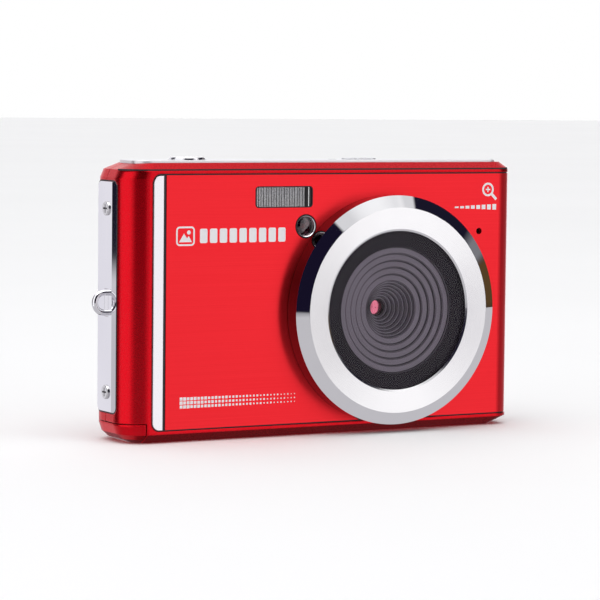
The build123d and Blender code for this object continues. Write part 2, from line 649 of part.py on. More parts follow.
with BuildPart() as timer_lamp_lens:
    bar_y(LAMP_X, LAMP_Z, LAMP_R, (-8.42, -6.9))
    fillet(timer_lamp_lens.faces().sort_by(Axis.Y)[0].edges(), 0.25)
    bar_y(LAMP_X, LAMP_Z, LAMP_R + 0.35, (-6.95, -6.5))
timer_lamp_lens.part.label = "timer_lamp_lens"
export_step(timer_lamp_lens.part, "parts/timer_lamp_lens.step")

with BuildPart() as timer_led:
    bar_y(LAMP_X, LAMP_Z, 1.5, (-5.9, -2.2))
    fillet(timer_led.faces().sort_by(Axis.Y)[0].edges(), 1.2)
    bar_y(LAMP_X, LAMP_Z, 1.75, (-2.6, -1.6))
    for side in (-1, 1):
        bar_y(LAMP_X + 0.8 * side, LAMP_Z, 0.25, (-1.7, 2.66))
timer_led.part.label = "timer_led"
export_step(timer_led.part, "parts/timer_led.step")

with BuildPart() as microphone:
    bar_y(MIC_X, MIC_Z, 2.0, (-6.95, -5.4))
    bar_y(MIC_X, MIC_Z, 0.5, (-7, -6.6), mode=Mode.SUBTRACT)
microphone.part.label = "microphone"
export_step(microphone.part, "parts/microphone.step")

# Boards and electronics

with BuildPart() as main_board:
    block((-9.3, 43.4), (2.7, 3.6), (6.8, 52))
    for x, z in BOARD_SCREWS:
        bar_y(x, z, 0.8, (2, 4), mode=Mode.SUBTRACT)
main_board.part.label = "main_board"
export_step(main_board.part, "parts/main_board.step")

with BuildPart() as board_chips:
    # Processor, memory, power stage, connector and a row of small parts
    block((25, 35), (1.6, 2.66), (30, 40))
    block((25, 33), (1.7, 2.66), (20, 27))
    block((-1, 4.5), (1.5, 2.66), (28, 36))
    block((-3, 3), (0.6, 2.66), (14, 20))
    for row in range(6):
        block((37, 38.6), (2.0, 2.66), (30 + 2 * row, 31 + 2 * row))
board_chips.part.label = "board_chips"
export_step(board_chips.part, "parts/board_chips.step")

with BuildPart() as switch_boards:
    block((-35, -22.5), (-5.0, 2.6), (49.6, 50.4))
    block((4.4, 22), (-5.0, 2.66), (49.2, 50.0))
switch_boards.part.label = "switch_boards"
export_step(switch_boards.part, "parts/switch_boards.step")

with BuildPart() as top_switches:
    for x, base in ((SHUTTER_X, 50.42), (POWER_X, 50.02)):
        block((x - 2.2, x + 2.2), (TOP_KEY_Y - 2.2, TOP_KEY_Y + 2.2), (base, base + 1.4))
        bar_z(x, TOP_KEY_Y, 1.0, (base + 1.3, base + 2.0))
top_switches.part.label = "top_switches"
export_step(top_switches.part, "parts/top_switches.step")

with BuildPart() as speaker:
    bar_z(SPEAKER_X, SPEAKER_Y, 4.0, (51.6, 54.15))
    bar_z(SPEAKER_X, SPEAKER_Y, 3.2, (53.8, 55), mode=Mode.SUBTRACT)
speaker.part.label = "speaker"
export_step(speaker.part, "parts/speaker.step")

with BuildPart() as usb_port:
    # Metal shell that opens to the right, with the contact tongue inside
    block((40.4, 45.55), (0.0, 2.66), (17.95, 25.65))
    block((41.2, 46), (0.25, 2.41), (18.2, 25.4), mode=Mode.SUBTRACT)
    block((41.0, 44.9), (1.35, 1.95), (19.4, 24.2))
usb_port.part.label = "usb_port"
export_step(usb_port.part, "parts/usb_port.step")

# Screen

with BuildPart() as lcd_frame:
    tray_x = (SCREEN_X - 27.6, SCREEN_X + 27.6)
    tray_z = (SCREEN_Z - 21.4, SCREEN_Z + 21.4)
    block(tray_x, (4.2, 6.9), tray_z)
    tray_inside_x = (tray_x[0] + 0.3, tray_x[1] - 0.3)
    tray_inside_z = (tray_z[0] + 0.3, tray_z[1] - 0.3)
    block(tray_inside_x, (4.5, 8), tray_inside_z, mode=Mode.SUBTRACT)
lcd_frame.part.label = "lcd_frame"
export_step(lcd_frame.part, "parts/lcd_frame.step")

with BuildPart() as lcd_panel:
    block((tray_x[0] + 0.4, tray_x[1] - 0.4), (4.52, 6.8), (tray_z[0] + 0.4, tray_z[1] - 0.4))
lcd_panel.part.label = "lcd_panel"
export_step(lcd_panel.part, "parts/lcd_panel.step")

with BuildPart() as lcd_window:
    add(tile(SCREEN_X, SCREEN_Z, SCREEN_W, SCREEN_H, 1.5, (7.7, 8.45)))
lcd_window.part.label = "lcd_window"
export_step(lcd_window.part, "parts/lcd_window.step")

with BuildPart() as lcd_flex:
    # Ribbon folded round the lower edge of the screen tray to the main board
    flex_x = (8, 18)
    block(flex_x, (3.62, 3.74), (6.5, 11))
    block(flex_x, (3.62, 3.74), (6.2, 6.6))
    block(flex_x, (3.62, 5.4), (6.1, 6.22))
    block(flex_x, (5.28, 5.4), (6.1, 7.05))
lcd_flex.part.label = "lcd_flex"
export_step(lcd_flex.part, "parts/lcd_flex.step")

# Keys

with BuildPart() as shutter_button:
    bar_z(SHUTTER_X, TOP_KEY_Y, SHUTTER_R, (HEIGHT + 0.05, 57.2))
    fillet(shutter_button.faces().sort_by(Axis.Z)[-1].edges(), 0.35)
    bar_z(SHUTTER_X, TOP_KEY_Y, 3.1, (53.2, HEIGHT + 0.1))
    bar_z(SHUTTER_X, TOP_KEY_Y, 3.9, (53.2, 53.8))
    bar_z(SHUTTER_X, TOP_KEY_Y, 0.9, (53.0, 53.3))
shutter_button.part.label = "shutter_button"
export_step(shutter_button.part, "parts/shutter_button.step")

with BuildPart() as power_button:
    with BuildSketch(Plane.XY.offset(HEIGHT + 0.05)):
        with Locations((POWER_X, TOP_KEY_Y)):
            SlotOverall(POWER_W, POWER_D)
    extrude(amount=0.7)
    fillet(power_button.faces().sort_by(Axis.Z)[-1].edges(), 0.15)
    block((POWER_X - 3.4, POWER_X + 3.4), (TOP_KEY_Y - 1, TOP_KEY_Y + 1), (53.2, HEIGHT + 0.1))
    block((POWER_X - 4.2, POWER_X + 4.2), (TOP_KEY_Y - 1.8, TOP_KEY_Y + 1.8), (53.2, 53.75))
    bar_z(POWER_X, TOP_KEY_Y, 0.9, (52.6, 53.3))
power_button.part.label = "power_button"
export_step(power_button.part, "parts/power_button.step")


def round_key(x, z):
    """Round key of the back, with its flange behind the shell and a stem to its switch."""
    with BuildPart() as key:
        bar_y(x, z, KEY_R, (6.4, KEY_PROUD))
        fillet(key.faces().sort_by(Axis.Y)[-1].edges(), 0.25)
        bar_y(x, z, KEY_R + 0.6, (6.3, 6.95))
        bar_y(x, z, 0.8, (5.65, 6.4))
    return key.part


with BuildPart() as mode_button:
    add(round_key(*KEYS["mode"]))
mode_button.part.label = "mode_button"
export_step(mode_button.part, "parts/mode_button.step")

with BuildPart() as menu_button:
    add(round_key(*KEYS["menu"]))
menu_button.part.label = "menu_button"
export_step(menu_button.part, "parts/menu_button.step")

with BuildPart() as play_button:
    add(round_key(*KEYS["play"]))
play_button.part.label = "play_button"
export_step(play_button.part, "parts/play_button.step")

with BuildPart() as delete_button:
    add(round_key(*KEYS["delete"]))
delete_button.part.label = "delete_button"
export_step(delete_button.part, "parts/delete_button.step")

with BuildPart() as nav_ring:
    bar_y(NAV_X, NAV_Z, NAV_R, (6.0, KEY_PROUD))
    fillet(nav_ring.faces().sort_by(Axis.Y)[-1].edges(), 0.3)
    bar_y(NAV_X, NAV_Z, NAV_R + 0.6, (5.95, 6.55))
    bar_y(NAV_X, NAV_Z, 3.95, (5, 10), mode=Mode.SUBTRACT)
nav_ring.part.label = "nav_ring"
export_step(nav_ring.part, "parts/nav_ring.step")

with BuildPart() as nav_pivot:
    # Rocking bar under the ring, with a hole for the centre key's stem
    bar_y(NAV_X, NAV_Z, 2.8, (5.5, 5.8))
    block((NAV_X - 7, NAV_X + 7), (5.5, 5.8), (NAV_Z - 1.2, NAV_Z + 1.2))
    bar_y(NAV_X, NAV_Z, 1.5, (5, 7), mode=Mode.SUBTRACT)
nav_pivot.part.label = "nav_pivot"
export_step(nav_pivot.part, "parts/nav_pivot.step")

with BuildPart() as ok_button:
    bar_y(NAV_X, NAV_Z, 3.5, (6.45, KEY_PROUD + 0.05))
    fillet(ok_button.faces().sort_by(Axis.Y)[-1].edges(), 0.25)
    bar_y(NAV_X, NAV_Z, 0.9, (5.65, 6.5))
ok_button.part.label = "ok_button"
export_step(ok_button.part, "parts/ok_button.step")

with BuildPart() as zoom_rocker:
    add(tile(ZOOM_X, ZOOM_Z, 14.0, 4.0, 1.95, (6.1, KEY_PROUD)))
    fillet(zoom_rocker.faces().sort_by(Axis.Y)[-1].edges(), 0.3)
    add(tile(ZOOM_X, ZOOM_Z, 15.2, 5.2, 2.5, (6.1, 6.6)))
zoom_rocker.part.label = "zoom_rocker"
export_step(zoom_rocker.part, "parts/zoom_rocker.step")

with BuildPart() as key_board:
    block((-43.4, -14.6), (3.9, 4.6), (4.4, 51))
key_board.part.label = "key_board"
export_step(key_board.part, "parts/key_board.step")

with BuildPart() as key_switches:
    # One dome switch under each key, four round the ring and two under the rocker
    places = list(KEYS.values()) + [(NAV_X, NAV_Z), (ZOOM_X - 5, ZOOM_Z), (ZOOM_X + 5, ZOOM_Z)]
    places += [(NAV_X + 6.2 * math.cos(a), NAV_Z + 6.2 * math.sin(a)) for a in (0, math.pi / 2)]
    places += [(NAV_X - 6.2 * math.cos(a), NAV_Z - 6.2 * math.sin(a)) for a in (0, math.pi / 2)]
    for x, z in places:
        block((x - 1.5, x + 1.5), (4.62, 4.95), (z - 1.5, z + 1.5))
        bar_y(x, z, 0.9, (4.9, 5.12))
key_switches.part.label = "key_switches"
export_step(key_switches.part, "parts/key_switches.step")

with BuildPart() as indicator_led:
    bar_y(LED_X, LED_Z, 0.8, (4.62, 8.52))
indicator_led.part.label = "indicator_led"
export_step(indicator_led.part, "parts/indicator_led.step")

# Battery, memory card and their door

with BuildPart() as battery_frame:
    # Open-bottomed case: thin walls round the battery and a shelf above it
    block((-43.5, -10.1), (-2.4, 3.78), (2.7, 45.2))
    block((-43.05, -10.85), (-1.9, 3.32), (1, 43.9), mode=Mode.SUBTRACT)
    block((-34.5, -23), (-2.4, 2.4), (45.1, 49.55))
    block((-33.5, -24), (-1.6, 1.6), (45.3, 50), mode=Mode.SUBTRACT)
battery_frame.part.label = "battery_frame"
export_step(battery_frame.part, "parts/battery_frame.step")

with BuildPart() as battery:
    block((-42.95, -10.95), (-1.8, 3.2), (2.6, 42.6))
    fillet(battery.edges().filter_by(Axis.Z), 1.0)
battery.part.label = "battery"
export_step(battery.part, "parts/battery.step")

with BuildPart() as battery_contacts:
    for x in (-20, -17, -14):
        block((x - 0.8, x + 0.8), (-0.2, 1.8), (42.65, 43.85))
        block((x - 0.6, x + 0.6), (0.1, 1.4), (42.4, 43.3), mode=Mode.SUBTRACT)
battery_contacts.part.label = "battery_contacts"
export_step(battery_contacts.part, "parts/battery_contacts.step")

with BuildPart() as card_slot:
    # Folded steel housing, open at the bottom
    block((-38.6, -13.4), (-5.3, -2.5), (3.6, 36.5))
    block((-38.15, -13.85), (-5.05, -2.75), (3, 35.6), mode=Mode.SUBTRACT)
card_slot.part.label = "card_slot"
export_step(card_slot.part, "parts/card_slot.step")

with BuildPart() as memory_card:
    block((-38, -14), (-4.95, -2.85), (2.8, 34.8))
    chamfer(memory_card.edges().filter_by(Axis.Y).group_by(Axis.Z)[-1].sort_by(Axis.X)[0], 3.5)
memory_card.part.label = "memory_card"
export_step(memory_card.part, "parts/memory_card.step")

with BuildPart() as battery_door:
    add(envelope())
    add(door_zone(0), mode=Mode.INTERSECT)
    with BuildSketch(Plane.XY.offset(DOOR_PLATE)):
        add(body_plan(1.4, 1.4, SIDE_WALL, SIDE_WALL))
    extrude(amount=10, mode=Mode.SUBTRACT)
    with Locations(Location((HINGE_X, 0, HINGE_Z), (90, 0, 0))):
        Cylinder(HINGE_Z, 2 * DOOR_HALF_Y)
    bar_y(HINGE_X, HINGE_Z, PIN_R + 0.03, (-8, 8), mode=Mode.SUBTRACT)
battery_door.part.label = "battery_door"
export_step(battery_door.part, "parts/battery_door.step")

with BuildPart() as door_hinge_pin:
    bar_y(HINGE_X, HINGE_Z, PIN_R, (-5.7, 5.7))
door_hinge_pin.part.label = "door_hinge_pin"
export_step(door_hinge_pin.part, "parts/door_hinge_pin.step")
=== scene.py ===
"""Looks of the compact digital camera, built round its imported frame.

+Z is up and the lens faces -Y. Blender works in metres. Shapes are worked out in millimetres,
and times MM they are metres.
"""

import math

import bmesh
import bpy
from mathutils import Euler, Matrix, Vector


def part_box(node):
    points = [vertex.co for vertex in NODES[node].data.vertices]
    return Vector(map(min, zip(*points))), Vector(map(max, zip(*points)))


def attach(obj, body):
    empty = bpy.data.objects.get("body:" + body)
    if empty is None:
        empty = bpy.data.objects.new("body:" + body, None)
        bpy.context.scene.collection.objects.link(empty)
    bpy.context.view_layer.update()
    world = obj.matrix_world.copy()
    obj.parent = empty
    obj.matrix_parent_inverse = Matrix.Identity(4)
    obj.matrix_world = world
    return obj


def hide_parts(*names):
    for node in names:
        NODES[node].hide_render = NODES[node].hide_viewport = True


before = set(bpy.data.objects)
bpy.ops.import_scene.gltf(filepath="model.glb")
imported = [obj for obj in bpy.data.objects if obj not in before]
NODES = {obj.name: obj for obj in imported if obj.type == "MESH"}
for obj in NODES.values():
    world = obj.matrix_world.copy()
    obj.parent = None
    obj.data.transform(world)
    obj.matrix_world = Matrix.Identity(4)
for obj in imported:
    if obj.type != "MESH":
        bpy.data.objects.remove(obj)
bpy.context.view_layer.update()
MM = 0.001
AXIS_X, AXIS_Y, AXIS_Z = 0, 1, 2
# Sockets of the Mix node that hold colours
MIX_COLOUR_A, MIX_COLOUR_B, MIX_COLOUR_OUT = 6, 7, 2
# Scale of a surface's mottling, as a share of its grain's
MOTTLE = 0.07


def middle(node, axis):
    """Middle of a CAD node's box along one axis, in metres."""
    low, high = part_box(node)
    return (low[axis] + high[axis]) / 2


def box_mm(node):
    """Lowest and highest corners of a CAD node's box, in millimetres."""
    low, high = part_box(node)
    return [value / MM for value in low], [value / MM for value in high]


# --- node helpers ---------------------------------------------------------


def new_material(name):
    """Material with one Principled shader; returns it with its tree and the shader."""
    material = bpy.data.materials.new(name)
    material.use_nodes = True
    tree = material.node_tree
    return material, tree, tree.nodes["Principled BSDF"]


def add_node(tree, kind, **sockets):
    """Adds a node and sets or links its inputs by name, with _ for a space."""
    node = tree.nodes.new(kind)
    for name, value in sockets.items():
        plug(tree, node, name.replace("_", " "), value)
    return node


def plug(tree, node, name, value):
    """Links a socket to an input, or sets the input's own value."""
    if isinstance(value, bpy.types.NodeSocket):
        tree.links.new(value, node.inputs[name])
    else:
        node.inputs[name].default_value = value


def calc(tree, operation, *values):
    """Math node; values are numbers or sockets."""
    node = tree.nodes.new("ShaderNodeMath")
    node.operation = operation
    for index, value in enumerate(values):
        plug(tree, node, index, value)
    return node.outputs[0]


def place(tree, stretch=(1, 1, 1)):
    """Object coordinates, in metres, stretched along each axis."""
    coords = tree.nodes.new("ShaderNodeTexCoord")
    mapping = add_node(tree, "ShaderNodeMapping", Vector=coords.outputs["Object"])
    mapping.inputs["Scale"].default_value = stretch
    return mapping.outputs[0]


def noise(tree, scale, stretch=(1, 1, 1), detail=3.0, rough=0.5):
    """Noise over the object, as a value from 0 to 1."""
    node = add_node(
        tree,
        "ShaderNodeTexNoise",
        Vector=place(tree, stretch),
        Scale=scale,
        Detail=detail,
        Roughness=rough,
    )
    return node.outputs["Fac"]


def spread(tree, value, low, high, from_low=0.3, from_high=0.7):
    """Maps a value from one range to another, clamped. The default range suits noise."""
    node = tree.nodes.new("ShaderNodeMapRange")
    for name, amount in (
        ("Value", value),
        ("From Min", from_low),
        ("From Max", from_high),
        ("To Min", low),
        ("To Max", high),
    ):
        plug(tree, node, name, amount)
    return node.outputs[0]


def blend_colour(tree, factor, first, second):
    """Colour between two, by a factor."""
    node = tree.nodes.new("ShaderNodeMix")
    node.data_type = "RGBA"
    plug(tree, node, "Factor", factor)
    for index, colour in ((MIX_COLOUR_A, first), (MIX_COLOUR_B, second)):
        if isinstance(colour, bpy.types.NodeSocket):
            tree.links.new(colour, node.inputs[index])
        else:
            node.inputs[index].default_value = (*colour, 1)
    return node.outputs[MIX_COLOUR_OUT]


def bump(tree, height, distance):
    """Normal from a height; distance is the height of one unit, in metres."""
    node = add_node(tree, "ShaderNodeBump", Height=height, Distance=distance, Strength=1.0)
    return node.outputs[0]


def surface(name, colour, second, metallic, roughness, grain, depth, **extra):
    """Principled material with mottled colour, uneven gloss and a fine bump.

    roughness is a (low, high) pair, grain the noise scale per metre, depth the bump in metres.
    extra sets further shader sockets, and stretch stretches the noise.
    """
    stretch = extra.pop("stretch", (1, 1, 1))
    material, tree, shader = new_material(name)
    cloud = noise(tree, grain * MOTTLE, stretch, 4.0)
    fine = noise(tree, grain, stretch, 2.0)
    plug(tree, shader, "Base Color", blend_colour(tree, spread(tree, cloud, 0, 1), colour, second))
    shader.inputs["Metallic"].default_value = metallic
    plug(tree, shader, "Roughness", spread(tree, cloud, *roughness))
    plug(tree, shader, "Normal", bump(tree, fine, depth))
    for socket, value in extra.items():
        shader.inputs[socket.replace("_", " ")].default_value = value
    return material


# --- materials --------------------------------------------------------------


def red_lacquer():
    """Metallic red lacquer: fine flakes under a thin clear coat, over slightly rounded edges."""
    flake_scale, peel_scale, peel_height = 14000.0, 500.0, 6e-7
    deep_red, light_red = (0.71, 0.0022, 0.010), (0.78, 0.0035, 0.014)
    edge_radius = 0.35 * MM
    material, tree, shader = new_material("red_lacquer")
    flakes = add_node(tree, "ShaderNodeTexVoronoi", Vector=place(tree), Scale=flake_scale)
    split = add_node(tree, "ShaderNodeSeparateColor", Color=flakes.outputs["Color"])
    sparkle = split.outputs["Red"]
    plug(tree, shader, "Base Color", blend_colour(tree, sparkle, deep_red, light_red))
    shader.inputs["Metallic"].default_value = 0.95
    plug(tree, shader, "Roughness", spread(tree, sparkle, 0.26, 0.30, 0.0, 1.0))
    rounded = add_node(tree, "ShaderNodeBevel", Radius=edge_radius)
    rounded.samples = 4
    peel = bump(tree, noise(tree, peel_scale, detail=1.0), peel_height)
    tree.links.new(rounded.outputs[0], peel.node.inputs["Normal"])
    plug(tree, shader, "Normal", peel)
    shader.inputs["Coat Weight"].default_value = 0.10
    shader.inputs["Coat Roughness"].default_value = 0.06
    return material


def red_brushed():
    """Anodised red aluminium with level hairlines."""
    hair_stretch, band_stretch = (45, 45, 16000), (18, 18, 5000)
    hair_share, band_share = 0.6, 0.4
    deep_red, light_red = (0.95, 0.024, 0.034), (1.0, 0.030, 0.041)
    low, high = 0.36, 0.64
    line_height = 4e-6
    material, tree, shader = new_material("red_brushed_aluminium")
    hair = noise(tree, 1.0, hair_stretch, 2.0, 0.6)
    bands = noise(tree, 1.0, band_stretch, 3.0, 0.6)
    hair_part = calc(tree, "MULTIPLY", hair, hair_share)
    band_part = calc(tree, "MULTIPLY", bands, band_share)
    mix = calc(tree, "ADD", hair_part, band_part)
    tone = spread(tree, mix, 0, 1, low, high)
    plug(tree, shader, "Base Color", blend_colour(tree, tone, deep_red, light_red))
    shader.inputs["Metallic"].default_value = 0.95
    plug(tree, shader, "Roughness", spread(tree, mix, 0.31, 0.36, low, high))
    shader.inputs["Anisotropic"].default_value = 0.8
    shader.inputs["Anisotropic Rotation"].default_value = 0.25
    tangent = tree.nodes.new("ShaderNodeTangent")
    tangent.direction_type = "RADIAL"
    tangent.axis = "Z"
    plug(tree, shader, "Tangent", tangent.outputs[0])
    plug(tree, shader, "Normal", bump(tree, mix, line_height))
    return material


def lens_ring_chrome():
    """Chrome ring: polished wall and chamfer, silkier turned face, and painted shade on the wall near the
    body.
    """
    face_edge, chamfer_edge = 21.2 * MM, 21.5 * MM
    wall_from, wall_to = -12.08 * MM, -12.0 * MM
    line_scale, line_height, haze_scale = 22000.0, 8e-7, 140.0
    polish = 0.03
    silver, bright, painted_shade = (0.86, 0.855, 0.87), (0.93, 0.925, 0.935), (0.30, 0.27, 0.28)
    material, tree, shader = new_material("lens_ring_chrome")
    coords = tree.nodes.new("ShaderNodeTexCoord")
    split = add_node(tree, "ShaderNodeSeparateXYZ", Vector=coords.outputs["Object"])
    across = calc(tree, "SUBTRACT", split.outputs["X"], middle("lens_ring", AXIS_X))
    up = calc(tree, "SUBTRACT", split.outputs["Z"], middle("lens_ring", AXIS_Z))
    squares = [calc(tree, "POWER", side, 2.0) for side in (across, up)]
    radius = calc(tree, "SQRT", calc(tree, "ADD", *squares))
    polished = spread(tree, radius, 0, 1, face_edge, chamfer_edge)
    turned_face = calc(tree, "SUBTRACT", 1.0, polished)
    turning = add_node(tree, "ShaderNodeTexNoise", Scale=line_scale, Detail=1.0)
    turning.noise_dimensions = "1D"
    plug(tree, turning, "W", radius)
    lines = turning.outputs["Fac"]
    silk = spread(tree, lines, 0.10, 0.20)
    plug(tree, shader, "Roughness", calc(tree, "MULTIPLY_ADD", turned_face, silk, polish))
    haze = noise(tree, haze_scale, detail=4.0)
    chrome = blend_colour(tree, haze, silver, bright)
    # Painted shade: the wall turns dark towards the body, so the faceplate beside the ring mirrors a dark
    # crescent
    wall = spread(tree, split.outputs["Y"], 0, 1, wall_from, wall_to)
    plug(tree, shader, "Base Color", blend_colour(tree, wall, chrome, painted_shade))
    shader.inputs["Metallic"].default_value = 1.0
    plug(tree, shader, "Normal", bump(tree, calc(tree, "MULTIPLY", lines, turned_face), line_height))
    return material


def clear_pane(name, tint, shine, rough, film=0.0):
    """Clear window: see-through, with a mirror film that grows towards the edge of sight.

    shine is the refractive index that sets the film's share, film the least share, and rough
    the film's roughness where it is smeared most.
    """
    smear_scale = 220.0
    material, tree, shader = new_material(name)
    tree.nodes.remove(shader)
    output = tree.nodes["Material Output"]
    smear = spread(tree, noise(tree, smear_scale, detail=5.0), rough * 0.5, rough)
    through = add_node(tree, "ShaderNodeBsdfTransparent", Color=(*tint, 1))
    glossy = add_node(tree, "ShaderNodeBsdfGlossy", Roughness=smear, Color=(1, 1, 1, 1))
    fresnel = add_node(tree, "ShaderNodeFresnel", IOR=shine)
    share = calc(tree, "MAXIMUM", fresnel.outputs[0], film)
    mix = add_node(tree, "ShaderNodeMixShader", Fac=share)
    tree.links.new(through.outputs[0], mix.inputs[1])
    tree.links.new(glossy.outputs[0], mix.inputs[2])
    tree.links.new(mix.outputs[0], output.inputs["Surface"])
    return material


def circuit_board():
    """Green solder mask with paler, slightly raised tracks."""
    track_scale, track_height = 700.0, 1e-5
    mask_green, track_green = (0.006, 0.10, 0.035), (0.02, 0.22, 0.08)
    material, tree, shader = new_material("circuit_board")
    tracks = add_node(tree, "ShaderNodeTexVoronoi", Vector=place(tree), Scale=track_scale)
    tracks.distance = "MANHATTAN"
    line = spread(tree, tracks.outputs["Distance"], 0, 1, 0.40, 0.46)
    plug(tree, shader, "Base Color", blend_colour(tree, line, mask_green, track_green))
    plug(tree, shader, "Roughness", spread(tree, line, 0.42, 0.28, 0.0, 1.0))
    plug(tree, shader, "Normal", bump(tree, line, track_height))
    return material


# Extras of some surfaces: noise stretched along an axis, a clear coat, or less gloss
BRUSHED_UP = {"stretch": (1, 1, 14)}
TURNED_UP = {"stretch": (1, 1, 12)}
LENS_COAT = {"Coat_Weight": 1.0, "Coat_Roughness": 0.03}
SCREEN_COAT = {"Coat_Weight": 1.0, "Coat_Roughness": 0.02}
DULL = {"Specular_IOR_Level": 0.12}

# Metals and silver paints
CHROME = surface("chrome", (0.86, 0.85, 0.88), (0.93, 0.92, 0.94), 1.0, (0.04, 0.10), 900, 3e-7)
TRIM = surface("satin_chrome", (0.85, 0.84, 0.88), (0.94, 0.93, 0.96), 1.0, (0.13, 0.22), 1500, 5e-7)
SIDES = surface("polished_trim", (0.85, 0.84, 0.88), (0.94, 0.93, 0.96), 1.0, (0.03, 0.06), 300, 2e-7)
SILVER = surface("silver_lacquer", (0.84, 0.84, 0.86), (0.88, 0.88, 0.90), 0.55, (0.29, 0.32), 9000, 1.5e-7)
KEYS = surface("key_silver", (0.66, 0.66, 0.69), (0.70, 0.70, 0.73), 0.6, (0.26, 0.29), 9000, 1.5e-7)
STEEL = surface(
    "sheet_steel", (0.50, 0.51, 0.53), (0.62, 0.63, 0.65), 1.0, (0.22, 0.38), 1500, 1e-6, **BRUSHED_UP
)
SCREWS = surface("screw_nickel", (0.70, 0.69, 0.70), (0.82, 0.81, 0.82), 1.0, (0.12, 0.24), 2500, 1e-6)
BRASS = surface(
    "machined_brass", (0.60, 0.42, 0.17), (0.74, 0.55, 0.26), 1.0, (0.18, 0.32), 1800, 2e-6, **TURNED_UP
)
GOLD = surface("contact_gilt", (0.80, 0.55, 0.20), (0.88, 0.64, 0.28), 1.0, (0.14, 0.24), 2000, 1e-6)
BRIGHT = surface("bright_reflector", (0.86, 0.86, 0.86), (0.94, 0.94, 0.94), 1.0, (0.08, 0.18), 800, 2e-6)
CUP = surface("lamp_cup", (0.32, 0.21, 0.23), (0.44, 0.31, 0.33), 1.0, (0.10, 0.20), 2200, 1e-6)

# Plastics, films and prints
BLACK = surface(
    "black_plastic", (0.012, 0.011, 0.014), (0.022, 0.020, 0.025), 0.0, (0.38, 0.52), 6000, 3e-6
)
MASK = surface(
    "black_print", (0.013, 0.009, 0.016), (0.018, 0.012, 0.021), 0.0, (0.40, 0.46), 300, 1e-8, **DULL
)
BAFFLE = surface(
    "baffle_grey", (0.225, 0.195, 0.232), (0.255, 0.225, 0.262), 0.0, (0.40, 0.48), 600, 5e-8
)
# Near-black: the microphone's own colour, and painted shade in the cone's grooves and the screw slots
BLACK_AND_SHADE = surface(
    "black_and_painted_shade", (0.022, 0.018, 0.024), (0.032, 0.027, 0.034), 0.0, (0.5, 0.6), 600, 5e-8
)
# Near-black for painted shade on the flash window: its rib valleys and its right end
PAINTED_RIB_SHADE = surface("painted_rib_shade", (0.010, 0.009, 0.010), (0.016, 0.015, 0.017), 0.0, (0.3, 0.4), 600, 5e-8)
CHIPS = surface(
    "component_black", (0.018, 0.018, 0.020), (0.035, 0.035, 0.038), 0.0, (0.40, 0.60), 5000, 3e-6
)
SLEEVE = surface(
    "capacitor_sleeve", (0.012, 0.016, 0.05), (0.02, 0.026, 0.07), 0.0, (0.16, 0.26), 1500, 2e-6
)
FILM = surface("polyimide_film", (0.50, 0.20, 0.03), (0.62, 0.28, 0.05), 0.0, (0.22, 0.34), 2000, 1e-6)
CELL = surface("battery_wrap", (0.03, 0.035, 0.05), (0.05, 0.055, 0.075), 0.2, (0.22, 0.34), 2500, 1e-6)
CARD = surface("card_plastic", (0.015, 0.018, 0.03), (0.028, 0.03, 0.045), 0.0, (0.34, 0.5), 5000, 3e-6)
LAMP = surface("lamp_plastic", (0.30, 0.75, 0.25), (0.42, 0.85, 0.34), 0.0, (0.18, 0.28), 1500, 1e-6)
AMBER = surface("lamp_bead", (0.62, 0.14, 0.10), (0.74, 0.24, 0.16), 0.3, (0.12, 0.2), 900, 1e-7)
WHITE = surface("white_print", (0.88, 0.87, 0.88), (0.95, 0.94, 0.95), 0.6, (0.30, 0.38), 6000, 5e-7)
DARK = surface("grey_print", (0.05, 0.05, 0.055), (0.08, 0.08, 0.085), 0.0, (0.34, 0.46), 6000, 5e-7)

# Glass
SCREEN = surface(
    "screen_glass", (0.004, 0.004, 0.006), (0.009, 0.009, 0.012), 0.0, (0.03, 0.07), 400, 2e-8, **SCREEN_COAT
)
PICTURE = surface(
    "screen_picture", (0.016, 0.017, 0.020), (0.022, 0.023, 0.027), 0.0, (0.05, 0.08), 400, 2e-8
)
PINK = surface(
    "coated_lens", (0.80, 0.13, 0.22), (0.92, 0.24, 0.33), 0.75, (0.05, 0.10), 900, 1e-7, **LENS_COAT
)
TUBE = surface("flash_tube_glass", (0.78, 0.80, 0.82), (0.90, 0.91, 0.92), 0.1, (0.05, 0.12), 900, 1e-7)
RIBBED = clear_pane("ribbed_plastic", (0.97, 0.97, 0.98), 1.6, 0.22, 0.75)
DOME = clear_pane("lamp_dome", (0.72, 0.60, 0.64), 1.7, 0.02)
GLASS_PANE = clear_pane("lens_pane", (0.97, 0.96, 0.98), 1.18, 0.015)

# Finishes of their own
LACQUER = red_lacquer()
BRUSHED = red_brushed()
RING = lens_ring_chrome()
BOARD = circuit_board()

FINISHES = {
    LACQUER: ("front_shell", "rear_shell", "battery_door"),
    BRUSHED: ("faceplate",),
    TRIM: ("accent_strip",),
    SIDES: ("side_plate_left", "side_plate_right"),
    SILVER: ("top_plate",),
    CHROME: ("strap_lug", "shutter_button"),
    RING: ("lens_ring",),
    KEYS: (
        "power_button",
        "zoom_rocker",
        "mode_button",
        "menu_button",
        "play_button",
        "delete_button",
        "nav_ring",
        "ok_button",
    ),
    SCREWS: ("side_screws", "bottom_screws", "inner_screws", "door_hinge_pin"),
    BRASS: ("tripod_bush",),
    GOLD: ("battery_contacts",),
    GLASS_PANE: ("lens_window",),
    RIBBED: ("flash_window",),
    DOME: ("timer_lamp_lens",),
    MASK: ("lens_mask",),
    BAFFLE: ("lens_baffle",),
    BLACK: ("lens_barrel", "lens_holder", "battery_frame", "nav_pivot"),
    PINK: ("lens_element_front", "lens_element_rear", "ir_filter"),
    CHIPS: ("image_sensor", "board_chips", "speaker"),
    STEEL: ("key_switches", "top_switches", "lcd_frame", "card_slot", "usb_port"),
    BRIGHT: ("flash_reflector",),
    TUBE: ("flash_tube", "timer_led"),
    SLEEVE: ("flash_capacitor",),
    BLACK_AND_SHADE: ("microphone",),
    BOARD: ("main_board", "switch_boards", "key_board"),
    FILM: ("lcd_flex",),
    SCREEN: ("lcd_window", "lcd_panel"),
    CELL: ("battery",),
    CARD: ("memory_card",),
    LAMP: ("indicator_led",),
}
